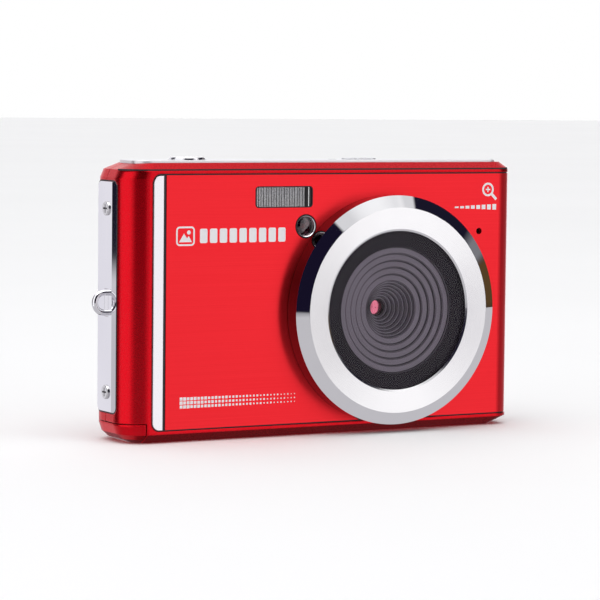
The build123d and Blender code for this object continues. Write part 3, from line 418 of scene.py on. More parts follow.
for finish, names in FINISHES.items():
    for name in names:
        data = NODES[name].data
        for index in range(len(data.materials)):
            data.materials[index] = finish

# --- faces, outlines and prisms ----------------------------------------------

# How far a mark stands out of its face, and how far it reaches into it
PRINT = 0.01 * MM
SUNK = 0.01 * MM
QUARTER = math.pi / 2

# Each of these gives a function from (across, up, out) on a face to the frame, in metres


def front_face(x, z, y):
    """Face that looks to -Y."""
    return lambda across, up, out: Vector((x + across, y - out, z + up))


def rear_face(x, z, y):
    """Face that looks to +Y."""
    return lambda across, up, out: Vector((x - across, y + out, z + up))


def top_face(x, y, z):
    """Face that looks up."""
    return lambda across, up, out: Vector((x + across, y + up, z + out))


def base_face(x, y, z):
    """Face that looks down."""
    return lambda across, up, out: Vector((x + across, y - up, z - out))


def end_face(side, x, y, z):
    """Face of an end: side is -1 at the left, 1 at the right."""
    return lambda across, up, out: Vector((x + side * out, y + across, z + up))


def prism(bm, at, outline, low=-SUNK, high=PRINT):
    """Closed prism over an outline of (across, up) points in millimetres."""
    near = [bm.verts.new(at(a * MM, b * MM, low)) for a, b in outline]
    far = [bm.verts.new(at(a * MM, b * MM, high)) for a, b in outline]
    bm.faces.new(near)
    bm.faces.new(far[::-1])
    for i in range(len(outline)):
        j = (i + 1) % len(outline)
        bm.faces.new((near[i], far[i], far[j], near[j]))


def band(bm, at, outer, inner, low=-SUNK, high=PRINT):
    """Closed prism between two outlines with the same number of points."""
    rings = [
        [bm.verts.new(at(a * MM, b * MM, c)) for a, b in line]
        for line, c in ((outer, low), (outer, high), (inner, high), (inner, low))
    ]
    for first, second in zip(rings, rings[1:] + rings[:1]):
        join_rings(bm, first, second)


def join_rings(bm, first, second):
    """Joins two rings of as many points by four-sided faces, which it returns."""
    faces = []
    for i in range(len(first)):
        j = (i + 1) % len(first)
        faces.append(bm.faces.new((first[i], first[j], second[j], second[i])))
    return faces


def oval(x, y, rx, ry=None, count=40, start=0.0, sweep=math.tau):
    """Points round an oval, or along a part of it."""
    ry = rx if ry is None else ry
    closed = abs(sweep) >= math.tau - 1e-9
    steps = count if closed else count - 1
    return [
        (x + rx * math.cos(start + sweep * i / steps), y + ry * math.sin(start + sweep * i / steps))
        for i in range(count)
    ]


def arc(x, y, radius, start, sweep, count=12):
    """Points along part of a circle."""
    return oval(x, y, radius, None, count, start, sweep)


def box_outline(x, y, width, height, corner=0.0):
    """Rectangle about its middle, with rounded corners."""
    if corner <= 0:
        w, h = width / 2, height / 2
        return [(x - w, y - h), (x + w, y - h), (x + w, y + h), (x - w, y + h)]
    w, h = width / 2 - corner, height / 2 - corner
    points = []
    for i, (sx, sy) in enumerate(((1, 1), (-1, 1), (-1, -1), (1, -1))):
        points += arc(x + sx * w, y + sy * h, corner, i * QUARTER, QUARTER, 6)
    return points


def half_round(x0, x1, z0, z1, corner):
    """Upright rectangle whose two left corners are round."""
    points = [(x1, z0), (x1, z1)]
    points += arc(x0 + corner, z1 - corner, corner, QUARTER, QUARTER, 8)
    points += arc(x0 + corner, z0 + corner, corner, math.pi, QUARTER, 8)
    return points


def stroke(x0, y0, x1, y1, width):
    """Outline of a straight stroke."""
    length = math.hypot(x1 - x0, y1 - y0)
    nx, ny = -(y1 - y0) / length * width / 2, (x1 - x0) / length * width / 2
    return [(x0 + nx, y0 + ny), (x0 - nx, y0 - ny), (x1 - nx, y1 - ny), (x1 + nx, y1 + ny)]


def arc_band(x, y, r_out, r_in, start, sweep):
    """Outline of part of a ring."""
    count = 24
    return arc(x, y, r_out, start, sweep, count) + arc(x, y, r_in, start, sweep, count)[::-1]


def plus_outline(x, y, reach, width):
    """Outline of a plus sign."""
    w = width / 2
    points = [(w, reach), (w, w), (reach, w), (reach, -w), (w, -w), (w, -reach)]
    points += [(-a, -b) for a, b in points]
    return [(x + a, y + b) for a, b in points]


def arrow_head(x, y, size, turn):
    """Small triangle that points along an angle."""
    corners = ((size, 0), (-0.5 * size, 0.8 * size), (-0.5 * size, -0.8 * size))
    cos, sin = math.cos(turn), math.sin(turn)
    return [(x + a * cos - b * sin, y + a * sin + b * cos) for a, b in corners]


def add_piece(name, bm, material, body, smooth=False):
    """Turns a bmesh into a piece that rides on a body."""
    bmesh.ops.recalc_face_normals(bm, faces=bm.faces)
    mesh = bpy.data.meshes.new(name)
    bm.to_mesh(mesh)
    bm.free()
    mesh.materials.append(material)
    if smooth:
        mesh.shade_smooth()
    piece = bpy.data.objects.new(name, mesh)
    bpy.context.scene.collection.objects.link(piece)
    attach(piece, body)
    return piece


def marks(name, body, at, shapes, material=WHITE):
    """One piece of flat marks. A shape is an outline, or a pair of outlines for a ring."""
    bm = bmesh.new()
    for shape in shapes:
        if isinstance(shape, tuple):
            band(bm, at, *shape)
        else:
            prism(bm, at, shape)
    return add_piece(name, bm, material, body)


def sharpen(piece, degrees):
    """Marks edges sharper than an angle, so that smooth shading stops at them."""
    mesh = piece.data
    bm = bmesh.new()
    bm.from_mesh(mesh)
    for edge in bm.edges:
        if len(edge.link_faces) == 2 and edge.calc_face_angle() > math.radians(degrees):
            edge.smooth = False
    bm.to_mesh(mesh)
    bm.free()


# --- turned pieces: lamp, mask and cone ---------------------------------------


def lathe(bm, profile, centre, dark, steps):
    """Turns a closed profile of (radius, y) points in millimetres about an axis along Y.

    centre is the (x, z) of the axis in metres. Segments whose index is in dark take the second
    material. A point whose radius is 0 lies on the axis.
    """
    rings = []
    for radius, y in profile:
        if radius == 0:
            rings.append([bm.verts.new((centre[0], y * MM, centre[1]))])
            continue
        ring = []
        for i in range(steps):
            angle = math.tau * i / steps
            x = centre[0] + radius * MM * math.cos(angle)
            z = centre[1] + radius * MM * math.sin(angle)
            ring.append(bm.verts.new((x, y * MM, z)))
        rings.append(ring)
    for index, (first, second) in enumerate(zip(rings, rings[1:] + rings[:1])):
        if len(first) == 1 and len(second) == 1:
            continue
        for i in range(steps):
            j = (i + 1) % steps
            corners = [first[i % len(first)], first[j % len(first)]]
            corners += [second[j % len(second)], second[i % len(second)]]
            face = bm.faces.new(list(dict.fromkeys(corners)))
            face.smooth = True
            face.material_index = 1 if index in dark else 0


def turned(name, profile, node, materials, steps=96, sharp=None, dark=()):
    """Turned piece on the root body, about the middle of a node.

    materials are the first and, where segments are dark, the second. Edges sharper than sharp
    degrees break the smooth shading.
    """
    centre = (middle(node, AXIS_X), middle(node, AXIS_Z))
    bm = bmesh.new()
    lathe(bm, profile, centre, dark, steps)
    piece = add_piece(name, bm, materials[0], "root", smooth=True)
    for material in materials[1:]:
        piece.data.materials.append(material)
    if sharp:
        sharpen(piece, sharp)
    return piece


def timer_lamp():
    """Self-timer lamp: dark rim, polished throat, clear dome and the lamp in its cup."""
    node = "timer_lamp_lens"
    front = box_mm(node)[0][AXIS_Y]
    # Profiles as (radius, depth behind the front)
    rim = ((2.44, 0.22), (2.36, 0.06), (2.16, 0), (2.02, 0.12), (2.0, 0.55), (1.97, 1.5), (2.40, 1.5))
    cup = ((1.96, 0.3), (1.86, 0.36), (1.62, 0.50), (1.56, 0.72), (1.28, 0.78), (1.20, 1.0), (0.92, 1.08))
    cup += ((0.82, 1.3), (0.5, 1.42), (0, 1.45), (0, 1.6), (1.1, 1.6), (1.96, 1.3))
    bead = ((0, 0.95), (0.22, 1.0), (0.42, 1.14), (0.5, 1.4), (0, 1.42))
    dome_r, dome_foot, dome_rise, dome_wall, dome_taper = 1.95, 0.42, 0.3, 0.12, 0.93
    turns = [step * QUARTER / 8 for step in range(9)]
    outer = [(dome_r * math.sin(t), dome_foot - dome_rise * math.cos(t)) for t in turns]
    dome = outer + [(radius * dome_taper, depth + dome_wall) for radius, depth in outer[::-1]]
    rim, cup, bead, dome = (
        [(radius, front + depth) for radius, depth in profile] for profile in (rim, cup, bead, dome)
    )
    turned("timer_rim", rim, node, (BLACK, CHROME), sharp=40, dark=(2, 3))
    turned("timer_cup", cup, node, (CUP,), sharp=25)
    turned("timer_bead", bead, node, (AMBER,), steps=48)
    cover = turned("timer_dome", dome, node, (DOME,))
    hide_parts(node)


LENS_OPENING = 13.15
LENS_STEPS = 160


def window_mask():
    """Black ring printed behind the lens window, with a soft edge at its opening."""
    thick, edge, soft = 0.07, 0.04, 0.12
    low, high = box_mm("lens_mask")
    outside, back = (high[AXIS_X] - low[AXIS_X]) / 2, high[AXIS_Y]
    profile = [(outside, back - thick), (LENS_OPENING + soft, back - thick)]
    profile += [(LENS_OPENING, back - edge), (LENS_OPENING, back), (outside, back)]
    mask = turned("window_mask", profile, "lens_mask", (MASK,), LENS_STEPS, 25)
    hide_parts("lens_mask")


def lens_cone():
    """Stepped grey cone behind the lens window, with a fine groove at every step whose faces are painted
    dark as shade.
    """
    broad_steps, broad_tread, broad_drop = 5, 1.45, 0.4
    narrow_steps, narrow_tread, narrow_drop = 7, 0.586, 0.76
    chamfer, depth = 0.03, 0.05
    tip_wall, rim_height = 0.8, 1.2
    low, high = box_mm("lens_baffle")
    front, back = low[AXIS_Y], high[AXIS_Y]
    outside = (high[AXIS_X] - low[AXIS_X]) / 2
    edges = [(LENS_OPENING - broad_tread * i, front + broad_drop * i) for i in range(broad_steps + 1)]
    neck_r, neck_y = edges[-1]
    edges += [(neck_r - narrow_tread * i, neck_y + narrow_drop * i) for i in range(1, narrow_steps + 1)]
    profile, dark = [], []
    for (r, y), (next_r, next_y) in zip(edges, edges[1:]):
        groove, lip = (0.15, 0.10) if r > neck_r else (0.09, 0.05)
        start = len(profile)
        profile += [(r, y), (r - chamfer, y + chamfer), (r - chamfer, next_y - depth)]
        # Groove in the corner at the foot of the step
        profile += [(r - 0.05, next_y + 0.06), (r - groove - 0.04, next_y + 0.05)]
        profile += [(r - groove - 0.07, next_y)]
        # Groove behind the next edge
        profile += [(next_r + lip + 0.07, next_y), (next_r + lip, next_y + depth)]
        profile += [(next_r + lip - 0.06, next_y)]
        # Painted shade: the groove faces take the near-black second material
        dark += [start + offset for offset in (2, 3, 4, 6, 7)]
    tip_r, tip_y = edges[-1]
    profile += [(tip_r, tip_y), (tip_r, back), (tip_r + tip_wall, back)]
    profile += [(outside, front + rim_height), (outside, front)]
    materials = (BAFFLE, BLACK_AND_SHADE)
    cone = turned("lens_cone", profile, "lens_baffle", materials, LENS_STEPS, 20, dark)
    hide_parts("lens_baffle")


# --- flash window ---------------------------------------------------------------

# The node's flange lies behind the faceplate; the rim is the visible edge round the glass
FLASH_FLANGE = 0.8
FLASH_RIM = 0.17
FLASH_CORNER = 0.6


def flash_opening():
    """Width and height of the glass inside its rim, in millimetres."""
    low, high = box_mm("flash_window")
    edge = FLASH_FLANGE + FLASH_RIM
    return high[AXIS_X] - low[AXIS_X] - 2 * edge, high[AXIS_Z] - low[AXIS_Z] - 2 * edge


def flash_glass():
    """Clear flash window: upright ribs with painted shade in their valleys, and painted shade over the right
    end except for one bright band.
    """
    pitch, depth, per_rib, dark_steps = 0.6, 0.2, 8, (0, 6, 7)
    end_width, bright_from, bright_to = 1.25, 0.52, 0.66
    sunk, backing = 0.05, 0.2
    low, high = box_mm("flash_window")
    width, height = flash_opening()
    x0 = low[AXIS_X] + FLASH_FLANGE + FLASH_RIM
    x1 = x0 + width
    z_mid = middle("flash_window", AXIS_Z) / MM
    front, back = low[AXIS_Y] + sunk, high[AXIS_Y] - backing
    end_from = x1 - end_width
    ribs = int((end_from - x0) / pitch)
    stations = [x0 + pitch * i / per_rib for i in range(ribs * per_rib + 1)]
    stations += [end_from + bright_from, end_from + bright_to]
    stations += [x1 - FLASH_CORNER * (1 - k / 8) for k in range(1, 9)]
    bm = bmesh.new()
    rows = []
    for x in stations:
        rounding = max(0.0, FLASH_CORNER - min(x - x0, x1 - x))
        tall = height / 2 - FLASH_CORNER + math.sqrt(max(FLASH_CORNER**2 - rounding**2, 0.0))
        phase = ((x - x0) / pitch) % 1.0
        rib = depth * math.sin(math.pi * phase) if x <= end_from else 0.0
        face_y = front - rib + depth
        section = ((face_y, -1), (face_y, 1), (back, 1), (back, -1))
        rows.append([bm.verts.new((x * MM, y * MM, (z_mid + side * tall) * MM)) for y, side in section])
    for index, (first, second) in enumerate(zip(rows, rows[1:])):
        faces = join_rings(bm, first, second)
        # Painted shade: near-black faces in each rib's valley, and over the right end except for one bright
        # band
        if stations[index] < end_from:
            is_dark = index % per_rib in dark_steps
        else:
            is_dark = stations[index] != end_from + bright_from
        faces[0].material_index = 1 if is_dark and index > 0 else 0
    bm.faces.new(rows[0])
    bm.faces.new(rows[-1][::-1])
    piece = add_piece("flash_glass", bm, RIBBED, "root", smooth=True)
    piece.data.materials.append(PAINTED_RIB_SHADE)
    sharpen(piece, 50)
    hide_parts("flash_window")


def flash_rim():
    """Black edge round the flash glass."""
    outer_corner, deep = 0.78, 0.9
    node = "flash_window"
    at = front_face(middle(node, AXIS_X), middle(node, AXIS_Z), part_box(node)[0][AXIS_Y])
    width, height = flash_opening()
    outer = box_outline(0, 0, width + 2 * FLASH_RIM, height + 2 * FLASH_RIM, outer_corner)
    inner = box_outline(0, 0, width, height, FLASH_CORNER)
    bm = bmesh.new()
    band(bm, at, outer, inner, -deep * MM, 0)
    add_piece("flash_rim", bm, BLACK, "root")


# --- painted gap shade ------------------------------------------------------------

GAP_SHADE_WIDTH = 0.27
# Radii of the shell's two front corners
CORNER_LEFT = 5.3
CORNER_RIGHT = 4.0


def plate_gap_shade():
    """Painted shade: a black sheet sunk in the gap round the strip, and above and below the faceplate to its
    wrapped end.
    """
    sunk, deep, overlap = 0.16, 0.5, 0.01
    strip_corner, strip_overlap, plate_inset = 1.6, 0.02, 0.12
    strip_low, strip_high = box_mm("accent_strip")
    plate_low, plate_high = box_mm("faceplate")
    face_y = plate_low[AXIS_Y]
    top, base = plate_high[AXIS_Z] + GAP_SHADE_WIDTH, plate_low[AXIS_Z] - GAP_SHADE_WIDTH
    right = plate_low[AXIS_X] - overlap
    outer = half_round(strip_low[AXIS_X] - GAP_SHADE_WIDTH, right, base, top, strip_corner + GAP_SHADE_WIDTH)
    inner = half_round(
        strip_low[AXIS_X] + strip_overlap,
        strip_high[AXIS_X] + overlap,
        strip_low[AXIS_Z] + strip_overlap,
        strip_high[AXIS_Z] - strip_overlap,
        strip_corner,
    )
    bm = bmesh.new()
    band(bm, front_face(0, 0, face_y * MM), outer, inner, -deep * MM, -sunk * MM)
    bend_x, bend_y = right_bend()
    wrap = QUARTER - 0.07
    height = GAP_SHADE_WIDTH - overlap
    near_r, far_r = (CORNER_RIGHT - plate_inset - depth for depth in (sunk, deep))
    near = [(right, face_y + sunk)] + arc(bend_x, bend_y, near_r, -QUARTER, wrap)
    far = [(right, face_y + deep)] + arc(bend_x, bend_y, far_r, -QUARTER, wrap)
    for z in (top - height, base):
        prism(bm, top_face(0, 0, z * MM), near + far[::-1], 0, height * MM)
    add_piece("plate_gap_shade", bm, BLACK, "root")


def side_gap_shades():
    """Painted shade: black sheets sunk in the gaps round both side plates."""
    corner, overlap, sunk, deep = 1.2, 0.01, 0.2, 0.3
    for node, side in (("side_plate_left", -1), ("side_plate_right", 1)):
        low, high = box_mm(node)
        width, height = high[AXIS_Y] - low[AXIS_Y], high[AXIS_Z] - low[AXIS_Z]
        face_x = side * (max(abs(low[AXIS_X]), abs(high[AXIS_X])) - sunk) * MM
        at = end_face(side, face_x, middle(node, AXIS_Y), middle(node, AXIS_Z))
        outer = box_outline(0, 0, width + 2 * GAP_SHADE_WIDTH, height + 2 * GAP_SHADE_WIDTH, corner + GAP_SHADE_WIDTH)
        inner = box_outline(0, 0, width + overlap, height + overlap, corner)
        bm = bmesh.new()
        band(bm, at, outer, inner, -deep * MM, 0)
        add_piece(node.replace("plate", "gap_shade"), bm, BLACK, "root")


def right_bend():
    """Axis of the shell's right front corner, as (x, y) in millimetres."""
    low, high = box_mm("front_shell")
    return high[AXIS_X] - CORNER_RIGHT, low[AXIS_Y] + CORNER_RIGHT


def bevel_gap_shade():
    """Painted shade: a dark sheet in the groove along the foot of the top bevel."""
    depth, overlap = 0.16, 0.05
    inset_left, inset_right = 0.35, 0.34
    foot, height = 1.51, 0.32
    left_turn, right_turn = (math.pi * 1.06, math.pi * 0.44), (-QUARTER, QUARTER - 0.1)
    low, high = box_mm("front_shell")
    left_bend = (low[AXIS_X] + CORNER_LEFT, low[AXIS_Y] + CORNER_LEFT)
    outer, inner = (
        arc(*left_bend, CORNER_LEFT - inset_left + grow, *left_turn)
        + arc(*right_bend(), CORNER_RIGHT - inset_right + grow, *right_turn)
        for grow in (depth, -overlap)
    )
    bm = bmesh.new()
    at = top_face(0, 0, (high[AXIS_Z] - foot) * MM)
    prism(bm, at, outer + inner[::-1], 0, height * MM)
    add_piece("bevel_gap_shade", bm, BLACK, "root")


# --- marks ------------------------------------------------------------------------


def picture_sign(x, z):
    """Framed hills under a sun."""
    hills = [(-1.45, -1.2), (-0.35, 0.55), (0.35, -0.45), (0.75, 0.05), (1.45, -1.2)]
    frame_pair = (box_outline(x, z, 4.2, 3.9, 0.8), box_outline(x, z, 3.5, 3.2, 0.45))
    return [frame_pair, [(x + a, z + b) for a, b in hills], oval(x + 0.75, z + 0.75, 0.42, count=24)]


def magnifier(x, z):
    """Magnifier with a plus in it."""
    arm, cross = 0.55, 0.28
    return [
        (oval(x, z, 1.45), oval(x, z, 1.02)),
        stroke(x + 1.0, z - 1.0, x + 2.1, z - 2.1, 0.6),
        stroke(x - arm, z, x + arm, z, cross),
        stroke(x, z + cross / 2, x, z + arm, cross),
        stroke(x, z - cross / 2, x, z - arm, cross),
    ]


def front_marks():
    """Generic white marks on the faceplate: picture sign, blocks, squares, magnifier and bars.

    The squares shrink to the right, a little unevenly.
    """
    sign_x, sign_z = -32.7, 41.5
    block_x, block_pitch, blocks = -28.6, 2.24, 9
    pixel_x, pixel_z, pitch_x, pitch_z = -33.4, 7.2, 0.79, 0.8
    columns, rows = 34, 3
    largest, shrink, step = 0.62, 0.75, 0.04
    bar_x, bar_z, bar_pitch = 31.4, 46.6, 1.35
    at = front_face(0, 0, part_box("faceplate")[0][AXIS_Y])
    shapes = picture_sign(sign_x, sign_z)
    shapes += [box_outline(block_x + block_pitch * i, sign_z, 1.7, 2.9, 0.35) for i in range(blocks)]
    marks("front_mark", "root", at, shapes)
    pixels = []
    for i in range(columns):
        for row in range(rows):
            uneven = (i * 7 + row * 5) % 3
            size = largest * (1 - shrink * i / columns) + step * uneven
            pixels.append(box_outline(pixel_x + pitch_x * i, pixel_z + pitch_z * row, size, size))
    marks("pixel_mark", "root", at, pixels)
    marks("zoom_mark", "root", at, magnifier(39.2, 50.3))
    bars = [box_outline(bar_x + bar_pitch * i, bar_z, 0.95, 0.35 + 0.12 * i) for i in range(8)]
    marks("zoom_scale", "root", at, bars)


def on_back(node):
    """Rear face of a node, with its middle as the origin."""
    return rear_face(middle(node, AXIS_X), middle(node, AXIS_Z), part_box(node)[1][AXIS_Y])


def rear_marks():
    """Generic signs on the keys of the back, and the picture area of the screen."""
    arrow_r, screen_border = 6.3, 5.5
    camera_sign = [
        (box_outline(0, 0, 2.5, 1.7, 0.3), box_outline(0, 0, 2.05, 1.25, 0.15)),
        (oval(0, 0, 0.45), oval(0, 0, 0.24)),
        box_outline(-0.6, 0.98, 0.6, 0.22),
    ]
    bars = [box_outline(0, y, 2.1, 0.28) for y in (0.66, 0, -0.66)]
    bin_sign = [
        [(-0.66, 0.42), (0.66, 0.42), (0.5, -1.05), (-0.5, -1.05)],
        box_outline(0, 0.7, 1.7, 0.22),
        box_outline(0, 0.95, 0.66, 0.16),
    ]
    marks("mode_mark", "mode", on_back("mode_button"), camera_sign, DARK)
    marks("menu_mark", "menu", on_back("menu_button"), bars, DARK)
    marks("play_mark", "play", on_back("play_button"), [arrow_head(0.1, 0, 0.95, 0)], DARK)
    marks("delete_mark", "delete", on_back("delete_button"), bin_sign, DARK)
    marks("centre_mark", "centre_key", on_back("ok_button"), [(oval(0, 0, 1.15), oval(0, 0, 0.88))], DARK)
    turns = [k * QUARTER for k in range(4)]
    heads = [arrow_head(arrow_r * math.cos(t), arrow_r * math.sin(t), 0.72, t) for t in turns]
    marks("nav_mark", "nav", on_back("nav_ring"), heads, DARK)
    signs = [plus_outline(4.5, 0, 0.85, 0.3), box_outline(-4.5, 0, 1.7, 0.3)]
    signs += [box_outline(x, 0, 0.28, 1.9, 0.13) for x in (-0.9, 0, 0.9)]
    marks("zoom_key_mark", "zoom", on_back("zoom_rocker"), signs, DARK)
    low, high = box_mm("lcd_window")
    width, height = (high[axis] - low[axis] - screen_border for axis in (AXIS_X, AXIS_Z))
    marks("screen_area", "root", on_back("lcd_window"), [box_outline(0, 0, width, height, 0.4)], PICTURE)


def top_and_base_marks():
    """Power sign on the top plate; arrow, cell and card signs on the battery door."""
    sign_x, gap = -6.4, math.radians(35)
    node = "power_button"
    top = top_face(middle(node, AXIS_X), middle(node, AXIS_Y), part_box("top_plate")[1][AXIS_Z])
    ring = arc_band(sign_x, 0, 0.95, 0.68, QUARTER + gap, math.tau - 2 * gap)
    marks("power_mark", "root", top, [ring, box_outline(sign_x, 0.62, 0.27, 1.0)], DARK)
    cell = [
        (box_outline(-24, 0, 4.6, 2.6, 0.3), box_outline(-24, 0, 4.1, 2.1, 0.1)),
        box_outline(-21.4, 0, 0.45, 1.1),
        box_outline(-25.1, 0, 0.9, 1.3),
        box_outline(-23.6, 0, 0.9, 1.3),
    ]
    card = [[(-31.6, -1.5), (-29.2, -1.5), (-29.2, 1.5), (-30.9, 1.5), (-31.6, 0.8)]]
    shift = [stroke(-14.5, 0, -17.5, 0, 0.35), arrow_head(-17.6, 0, 0.9, math.pi)]
    at = base_face(0, 0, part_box("battery_door")[0][AXIS_Z])
    marks("door_mark", "door", at, cell + card + shift)


# --- screws, thread and contacts -----------------------------------------------------


def screw_slot_shade():
    """Painted shade: dark crosses on the floors of the slots in the screw heads of the ends and the base."""
    cross_width, thick = 0.3, 0.06 * MM
    side_reach, side_head_r, side_slot = 0.85, 1.45, 46.3
    base_reach, base_head_r, base_slot = 0.76, 1.25, 0.4
    low, high = box_mm("side_screws")
    bm = bmesh.new()
    for side in (-1, 1):
        for z in (low[AXIS_Z] + side_head_r, high[AXIS_Z] - side_head_r):
            at = end_face(side, side * side_slot * MM, 0, z * MM)
            prism(bm, at, plus_outline(0, 0, side_reach, cross_width), 0, thick)
    low, high = box_mm("bottom_screws")
    for x in (low[AXIS_X] + base_head_r, high[AXIS_X] - base_head_r):
        at = base_face(x * MM, middle("bottom_screws", AXIS_Y), base_slot * MM)
        prism(bm, at, plus_outline(0, 0, base_reach, cross_width), 0, thick)
    add_piece("screw_slot_shade", bm, BLACK_AND_SHADE, "root")


def bush_thread():
    """Thread ridge that winds up the bore of the tripod bush."""
    bore, crest, pitch, turns, steps = 2.54, 2.27, 1.27, 3.6, 36
    start, foot, flat = 0.45, 0.42, 0.06
    centre_x, centre_y = middle("tripod_bush", AXIS_X), middle("tripod_bush", AXIS_Y)
    bm = bmesh.new()
    rings = []
    for i in range(int(turns * steps) + 1):
        angle = math.tau * i / steps
        z = start + pitch * i / steps
        ring = []
        for radius, dz in ((bore, -foot), (crest, -flat), (crest, flat), (bore, foot)):
            x = centre_x + radius * MM * math.cos(angle)
            y = centre_y + radius * MM * math.sin(angle)
            ring.append(bm.verts.new((x, y, (z + dz) * MM)))
        rings.append(ring)
    for first, second in zip(rings, rings[1:]):
        join_rings(bm, first, second)
    bm.faces.new(rings[0])
    bm.faces.new(rings[-1][::-1])
    add_piece("bush_thread", bm, BRASS, "root", smooth=True)


def port_contacts():
    """Five gold contacts on the tongue of the data port."""
    pitch, length, width, middle_x = 0.85, 2.4, 0.42, 1.3
    tongue_y, tip_depth = 1.35, 0.75
    thick, sunk = 0.06 * MM, 0.02 * MM
    tip_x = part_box("usb_port")[1][AXIS_X] - tip_depth * MM
    mid_z = middle("usb_port", AXIS_Z)
    bm = bmesh.new()
    for k in range(-2, 3):
        row = box_outline(-middle_x, k * pitch, length, width)
        prism(bm, front_face(tip_x, mid_z, tongue_y * MM), row, -sunk, thick)
    add_piece("port_contacts", bm, GOLD, "root")


rear_marks()
top_and_base_marks()
screw_slot_shade()
bush_thread()
port_contacts()
flash_glass()
flash_rim()
timer_lamp()
window_mask()
lens_cone()
plate_gap_shade()
side_gap_shades()
bevel_gap_shade()
front_marks()

# --- studio -------------------------------------------------------------------

# Colours of the studio's surround, and where its cards are. Azimuth is 0 towards -Y (the front),
# 90 towards -X (the left) and -90 towards +X (the right). HORIZON is an elevation in degrees.
ROOM = (0.72, 0.72, 0.74)
NAVY = (0.008, 0.006, 0.02)
NAVY_RIGHT = (0.010, 0.009, 0.022)
BLACK_CARD = (0.01, 0.01, 0.02)
HORIZON = -4.0
ALL_ROUND = (-200, 200)
# (azimuth range, elevation range, softness in degrees, colour), later ones over earlier ones
STUDIO_PATCHES = (
    # Bright ceiling, dimmer towards the right rear
    (ALL_ROUND, (48, 100), 12, (1.75, 1.75, 1.75)),
    ((-200, -80), (44, 68), 10, (0.60, 0.60, 0.62)),
    # Pale table, dark at the right rear, with a white card above it there
    (ALL_ROUND, (-100, HORIZON), 1.5, (0.56, 0.55, 0.58)),
    ((-200, -100), (-100, -22), 8, (0.10, 0.09, 0.10)),
    ((-200, -125), (-2, 22), 6, (1.05, 1.05, 1.05)),
    # Pale card at the rear, for the left end plate
    ((148.5, 200), (-30, 50), 1, (0.82, 0.81, 0.86)),
    # Dark cards in front, for the bands of the lens ring
    ((-21, 44), (HORIZON, 33), 5.0, NAVY),
    ((-10, 40), (HORIZON, 33), 1.0, NAVY),
    ((3, 44), (20, 40), 1.5, NAVY),
    ((-115, -54.5), (HORIZON, 42), 1.5, NAVY_RIGHT),
    ((-115, -46), (HORIZON, 33), 1.0, NAVY_RIGHT),
    ((-100, -76), (9, 17), 4.0, (0.20, 0.20, 0.22)),
    ((-100, -80), (HORIZON, 9), 2.5, (0.095, 0.055, 0.022)),
    # White card at the left and dark cards behind it, for the rounded left end
    ((55, 112), (-25, 60), 3.0, (1.10, 1.10, 1.12)),
    ((112, 138), (-16, 40), 2.0, BLACK_CARD),
    ((137, 148), (HORIZON + 0.4, 40), 0.5, BLACK_CARD),
    # White card with greyer sides at the right of the front, for the faceplate
    ((-47, -19), (-16, 42), 3.0, (1.16, 1.15, 1.16)),
    ((-46, -36), (-9, 18), 3.0, (0.74, 0.72, 0.74)),
    ((-25, -12), (-9, 18), 3.0, (0.70, 0.68, 0.71)),
)


def make_floor():
    """Large pale floor under the base."""
    reach = 6.0
    bm = bmesh.new()
    corners = ((-reach, -reach), (reach, -reach), (reach, reach), (-reach, reach))
    bm.faces.new([bm.verts.new((x, y, 0)) for x, y in corners])
    mesh = bpy.data.meshes.new("floor")
    bm.to_mesh(mesh)
    bm.free()
    mesh.materials.append(
        surface("pale_floor", (0.90, 0.90, 0.90), (0.92, 0.92, 0.92), 0.0, (0.75, 0.85), 60, 1e-6)
    )
    floor = bpy.data.objects.new("floor", mesh)
    bpy.context.scene.collection.objects.link(floor)
    floor.visible_glossy = False


def sky_patch(tree, azimuth, height, az_range, el_range, soft):
    """Mask of a soft-edged patch of the studio, between two azimuths and two elevations."""
    mask = 1.0
    for value, (low, high) in ((azimuth, az_range), (height, el_range)):
        rise = spread(tree, value, 0, 1, low - soft / 2, low + soft / 2)
        fall = spread(tree, value, 1, 0, high - soft / 2, high + soft / 2)
        mask = calc(tree, "MULTIPLY", mask, calc(tree, "MULTIPLY", rise, fall))
    return mask


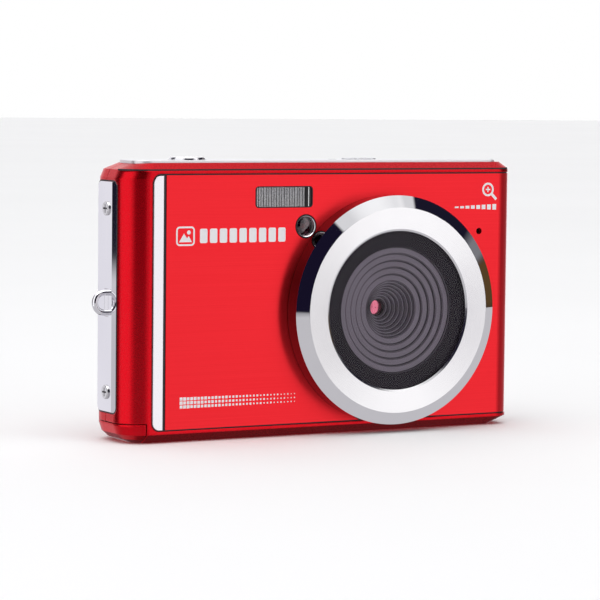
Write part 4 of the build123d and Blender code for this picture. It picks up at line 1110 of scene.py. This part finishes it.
def make_studio():
    """Studio as a surround, which polished faces mirror because the floor hides from reflections.

    It is seen only in reflections and as light: straight from the camera it is plain white.
    """
    world = bpy.data.worlds.new("studio")
    bpy.context.scene.world = world
    world.use_nodes = True
    tree = world.node_tree
    direction = tree.nodes.new("ShaderNodeTexCoord").outputs["Generated"]
    split = add_node(tree, "ShaderNodeSeparateXYZ", Vector=direction)
    x, y, z = (split.outputs[i] for i in range(3))
    back_x = calc(tree, "MULTIPLY", x, -1.0)
    back_y = calc(tree, "MULTIPLY", y, -1.0)
    azimuth = calc(tree, "DEGREES", calc(tree, "ARCTAN2", back_x, back_y))
    height = calc(tree, "DEGREES", calc(tree, "ARCSINE", z))
    colour = ROOM
    for az_range, el_range, soft, tone in STUDIO_PATCHES:
        mask = sky_patch(tree, azimuth, height, az_range, el_range, soft)
        colour = blend_colour(tree, mask, colour, tone)
    seen = tree.nodes.new("ShaderNodeLightPath").outputs["Is Camera Ray"]
    shown = blend_colour(tree, seen, colour, (1.0, 1.0, 1.0))
    background = tree.nodes["Background"]
    tree.links.new(shown, background.inputs["Color"])
    background.inputs["Strength"].default_value = 1.0


def make_light(name, position, target, size, power):
    """Soft square lamp aimed at a point, its size in metres and its power in watts."""
    lamp = bpy.data.lights.new(name, "AREA")
    lamp.shape = "SQUARE"
    lamp.size = size
    lamp.energy = power
    holder = bpy.data.objects.new(name, lamp)
    holder.location = position
    holder.rotation_euler = (Vector(target) - Vector(position)).to_track_quat("-Z", "Y").to_euler()
    holder.visible_camera = False
    bpy.context.scene.collection.objects.link(holder)


def make_camera():
    """Long lens from the front left, a little above the object's middle."""
    sensor_width, focal_length = 36.0, 169.05
    position = (-288.77 * MM, -509.68 * MM, 70.40 * MM)
    yaw, pitch, roll = (math.radians(angle) for angle in (29.402, 4.213, 0.604))
    data = bpy.data.cameras.new("view")
    data.sensor_width = sensor_width
    data.lens = focal_length
    holder = bpy.data.objects.new("view", data)
    holder.location = position
    turn = Euler((math.pi / 2 - pitch, 0, -yaw), "XYZ").to_quaternion()
    tilt = Euler((0, 0, roll), "XYZ").to_quaternion()
    holder.rotation_euler = (turn @ tilt).to_euler()
    data.clip_start, data.clip_end = 0.01, 50.0
    bpy.context.scene.collection.objects.link(holder)
    bpy.context.scene.camera = holder


make_floor()
make_studio()
make_light("overhead", (-0.15, -0.2, 0.9), (0, 0, 0.03), 0.6, 1.2)
make_camera()
bpy.context.scene.view_settings.view_transform = "Standard"
